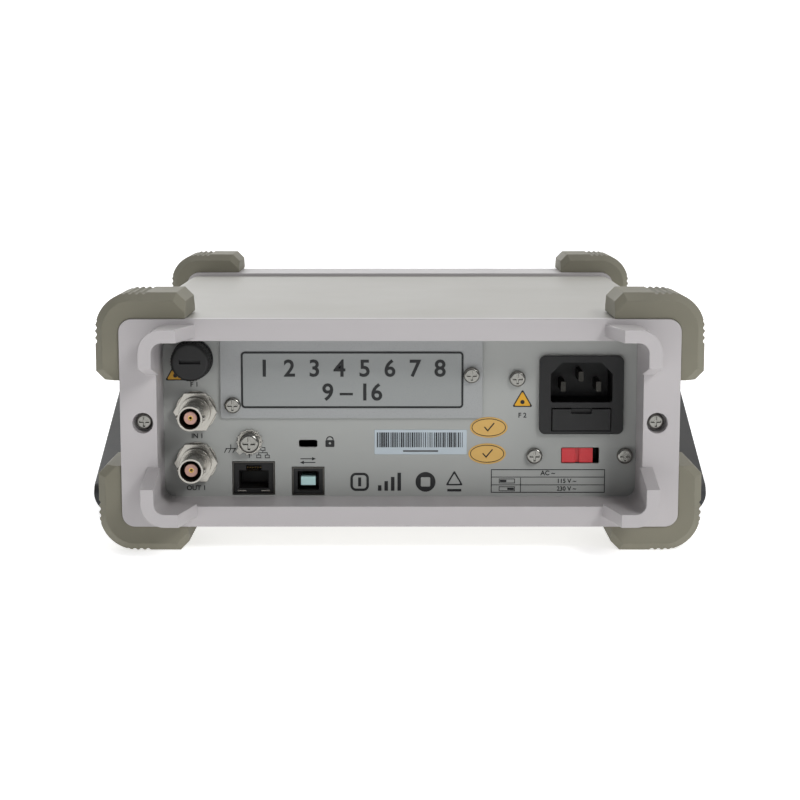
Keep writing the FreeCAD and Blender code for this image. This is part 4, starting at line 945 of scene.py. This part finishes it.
def make_network_tabs():
    """Two shield tabs at the network socket's lower edge."""
    near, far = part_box("lan_shield")
    x = middle_of("lan_shield")[0]
    tabs = []
    for side in (-1, 1):
        outline = plate(x + side * 4.7 * MM, near.z + 1.5 * MM, 3.4 * MM, 0.5 * MM)
        tabs.append((outline, far.y - 0.2 * MM, far.y - 4 * MM))
    solid_piece("network_socket_tabs", "nickel", "case", tabs)


def make_data_tongue():
    """The pale sleeve round the data socket's tongue."""
    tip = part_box("usb_tongue")[1].y
    outline = plate(*middle_of("usb_tongue"), 5.8 * MM, 3.4 * MM)
    sleeve = [(outline, tip + 0.15 * MM, tip - 9 * MM)]
    solid_piece("data_socket_tongue", "teal_plastic", "case", sleeve)


def make_lug_tail():
    """The ground lug's tail, tapering away down to one side."""
    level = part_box("ground_lug")[0].y
    hub, slope = Vector(middle_of("ground_lug")), math.radians(-42)
    slant = Vector((math.cos(slope), math.sin(slope)))
    half = Vector((-slant.y, slant.x)) * 1.6 * MM
    root, tip, taper = hub + slant * 3 * MM, hub + slant * 6.6 * MM, 0.7
    outline = [tuple(point) for point in (root - half, tip - half * taper, tip + half * taper, root + half)]
    solid_piece(
        "ground_lug_tail", "zinc_steel", "case", [(outline, level + 0.75 * MM, level + 0.05 * MM)],
    )


def make_socket_bore_shade():
    """Painted shade inside each signal socket's mouth: a dark sleeve, stepping in to the contact, that
    stands for the shade there.
    """
    near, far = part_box("bnc_insulators")
    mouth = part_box("bnc_shells")[1].y - 0.4 * MM
    step, floor, wide, narrow, sides = far.y - 6 * MM, far.y - 1.2 * MM, 4.05, 2.6, 40
    x = middle_of("bnc_insulators")[0]
    reach = (far.x - near.x) / 2
    turns = [math.radians(i * 360 / sides) for i in range(sides)]
    work = bmesh.new()
    for z in (near.z + reach, far.z - reach):
        rings = []
        for radius, y in ((wide, mouth), (wide, step), (narrow, step), (narrow, floor)):
            r = radius * MM
            rings.append([work.verts.new((x + r * math.cos(a), y, z + r * math.sin(a))) for a in turns])
        for first, second in zip(rings, rings[1:]):
            for i in range(sides):
                j = (i + 1) % sides
                work.faces.new((first[i], first[j], second[j], second[i]))
    mesh = bpy.data.meshes.new("signal_socket_bores")
    bmesh.ops.recalc_face_normals(work, faces=work.faces)
    for face in work.faces:
        face.smooth = True
    work.to_mesh(mesh)
    work.free()
    new_piece("signal_socket_bores", mesh, "dark_bore", "case")


make_network_tabs()
make_data_tongue()
make_lug_tail()
make_socket_bore_shade()


# ---------------------------------------------------------------- the front face

def above(node, gap):
    """A place over a CAD node, in mm: its middle across, and a gap over its top."""
    return middle_of(node)[0] / MM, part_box(node)[1].z / MM + gap


def make_front_prints():
    """Plain signs over the keys and the data socket, and numbers over the test sockets."""
    dark = Print("front_print", "ink", "front", BEZEL_Y)
    for node in named("soft_key"):
        dark.shape(rectangle(*above(node, 1.6), 5, 0.5))
    u, v = above("power_key", 3.2)
    dark.shape(band(u, v, 3.6, 2.8, 120, 420))
    dark.shape(bar(u, v + 0.6, u, v + 1.9, 0.4))
    data_mark(dark, *above("usb_host_port", 2.6))
    for u, text in ((77, "1"), (96.05, "2")):
        dark.word(text, u, low(66) + 9.4, 3.4)
    dark.build()


def make_key_signs():
    """A number on every function key; each rides on its key."""
    for node in named("function_key"):
        x, z = middle_of(node)
        sign = Print(f"{node}_number", "ink", "front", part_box(node)[0].y, node, "key_plastic")
        sign.word(node[-1], x / MM, z / MM, 4.2)
        sign.build()


def make_readout():
    """Lit digits on the display module, behind the smoked window, over a scale of ticks."""
    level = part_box("display_module")[0].y
    u, v = (place / MM for place in middle_of("display_window"))
    line, pitch, ticks = 0.5, 9, 11
    digits = Print("readout_digits", "digit_glow", "front", level, slot="black_plastic")
    digits.word("+12.34567", u - 4, v + 3, 17)
    digits.word("V", u + 46, v + 1, 9)
    for step in range(ticks):
        tall = 2.6 if step % 5 == 0 else 1.5
        digits.shape(rectangle(u + (step - (ticks - 1) / 2) * pitch, v - 12.5, line, tall))
    digits.shape(rectangle(u, v - 14.2, 92, line))
    digits.build()


make_front_prints()
make_key_signs()
make_readout()


# ---------------------------------------------------------------- camera, floor and light

def make_camera():
    """A long lens behind the instrument, a little above it and looking slightly down."""
    focal_length, sensor_width = 82.1, 36
    distance, height, downward = 0.8229, 0.1582, 8.05
    lens = bpy.data.cameras.new("camera")
    lens.lens = focal_length
    lens.sensor_width = sensor_width
    camera = bpy.data.objects.new("camera", lens)
    camera.location = (0, distance, height)
    camera.rotation_euler = (math.radians(90 - downward), 0, math.pi)
    bpy.context.scene.collection.objects.link(camera)
    bpy.context.scene.camera = camera


def make_light(name, place, size, power):
    """A square soft box that faces the instrument."""
    middle = Vector((0, 0, 0.05))
    lamp = bpy.data.lights.new(name, "AREA")
    lamp.shape = "SQUARE"
    lamp.size = size
    lamp.energy = power
    holder = bpy.data.objects.new(name, lamp)
    holder.location = place
    holder.rotation_euler = (middle - Vector(place)).to_track_quat("-Z", "Y").to_euler()
    bpy.context.scene.collection.objects.link(holder)


def make_backdrop():
    """A plain pale floor that curves up into a back wall. Metres."""
    reach, radius, bend, top, steps = 14.0, 1.2, -1.6, 4.0, 12
    profile = [(reach, 0.0), (bend, 0.0)]
    for step in range(1, steps + 1):
        angle = math.radians(90 / steps * step)
        profile.append((bend - radius * math.sin(angle), radius - radius * math.cos(angle)))
    profile.append((bend - radius, top))
    points = [(x, y, z) for y, z in profile for x in (-reach, reach)]
    faces = [(2 * i, 2 * i + 1, 2 * i + 3, 2 * i + 2) for i in range(len(profile) - 1)]
    mesh = bpy.data.meshes.new("floor")
    mesh.from_pydata(points, [], [face[::-1] for face in faces])
    for face in mesh.polygons:
        face.use_smooth = True
    mesh.materials.append(make_floor_paint())
    floor = bpy.data.objects.new("floor", mesh)
    bpy.context.scene.collection.objects.link(floor)


def make_floor_paint():
    """A matt, nearly white paint that glows a little, so that it stays even."""
    paint = bpy.data.materials.new("floor_paint")
    paint.use_nodes = True
    shader = paint.node_tree.nodes["Principled BSDF"]
    shader.inputs["Base Color"].default_value = (0.9, 0.9, 0.9, 1)
    shader.inputs["Roughness"].default_value = 0.95
    shader.inputs["Emission Color"].default_value = (1, 1, 1, 1)
    shader.inputs["Emission Strength"].default_value = 0.62
    return paint


def make_world():
    """A pale room that gives a little light from all sides."""
    world = bpy.data.worlds.new("pale room")
    world.use_nodes = True
    room = world.node_tree.nodes["Background"]
    room.inputs["Color"].default_value = (0.95, 0.97, 1, 1)
    room.inputs["Strength"].default_value = 0.2
    bpy.context.scene.world = world


def make_stage():
    """Backdrop, world and three soft boxes, shown in plain display colours."""
    make_backdrop()
    make_world()
    make_light("key box", (-0.85, 1.15, 1.0), 0.5, 10.5)
    make_light("top box", (-0.2, -0.1, 1.5), 1.2, 4)
    make_light("front box", (0.7, -1.2, 0.9), 0.8, 8)
    bpy.context.scene.view_settings.view_transform = "Standard"


make_camera()
make_stage()
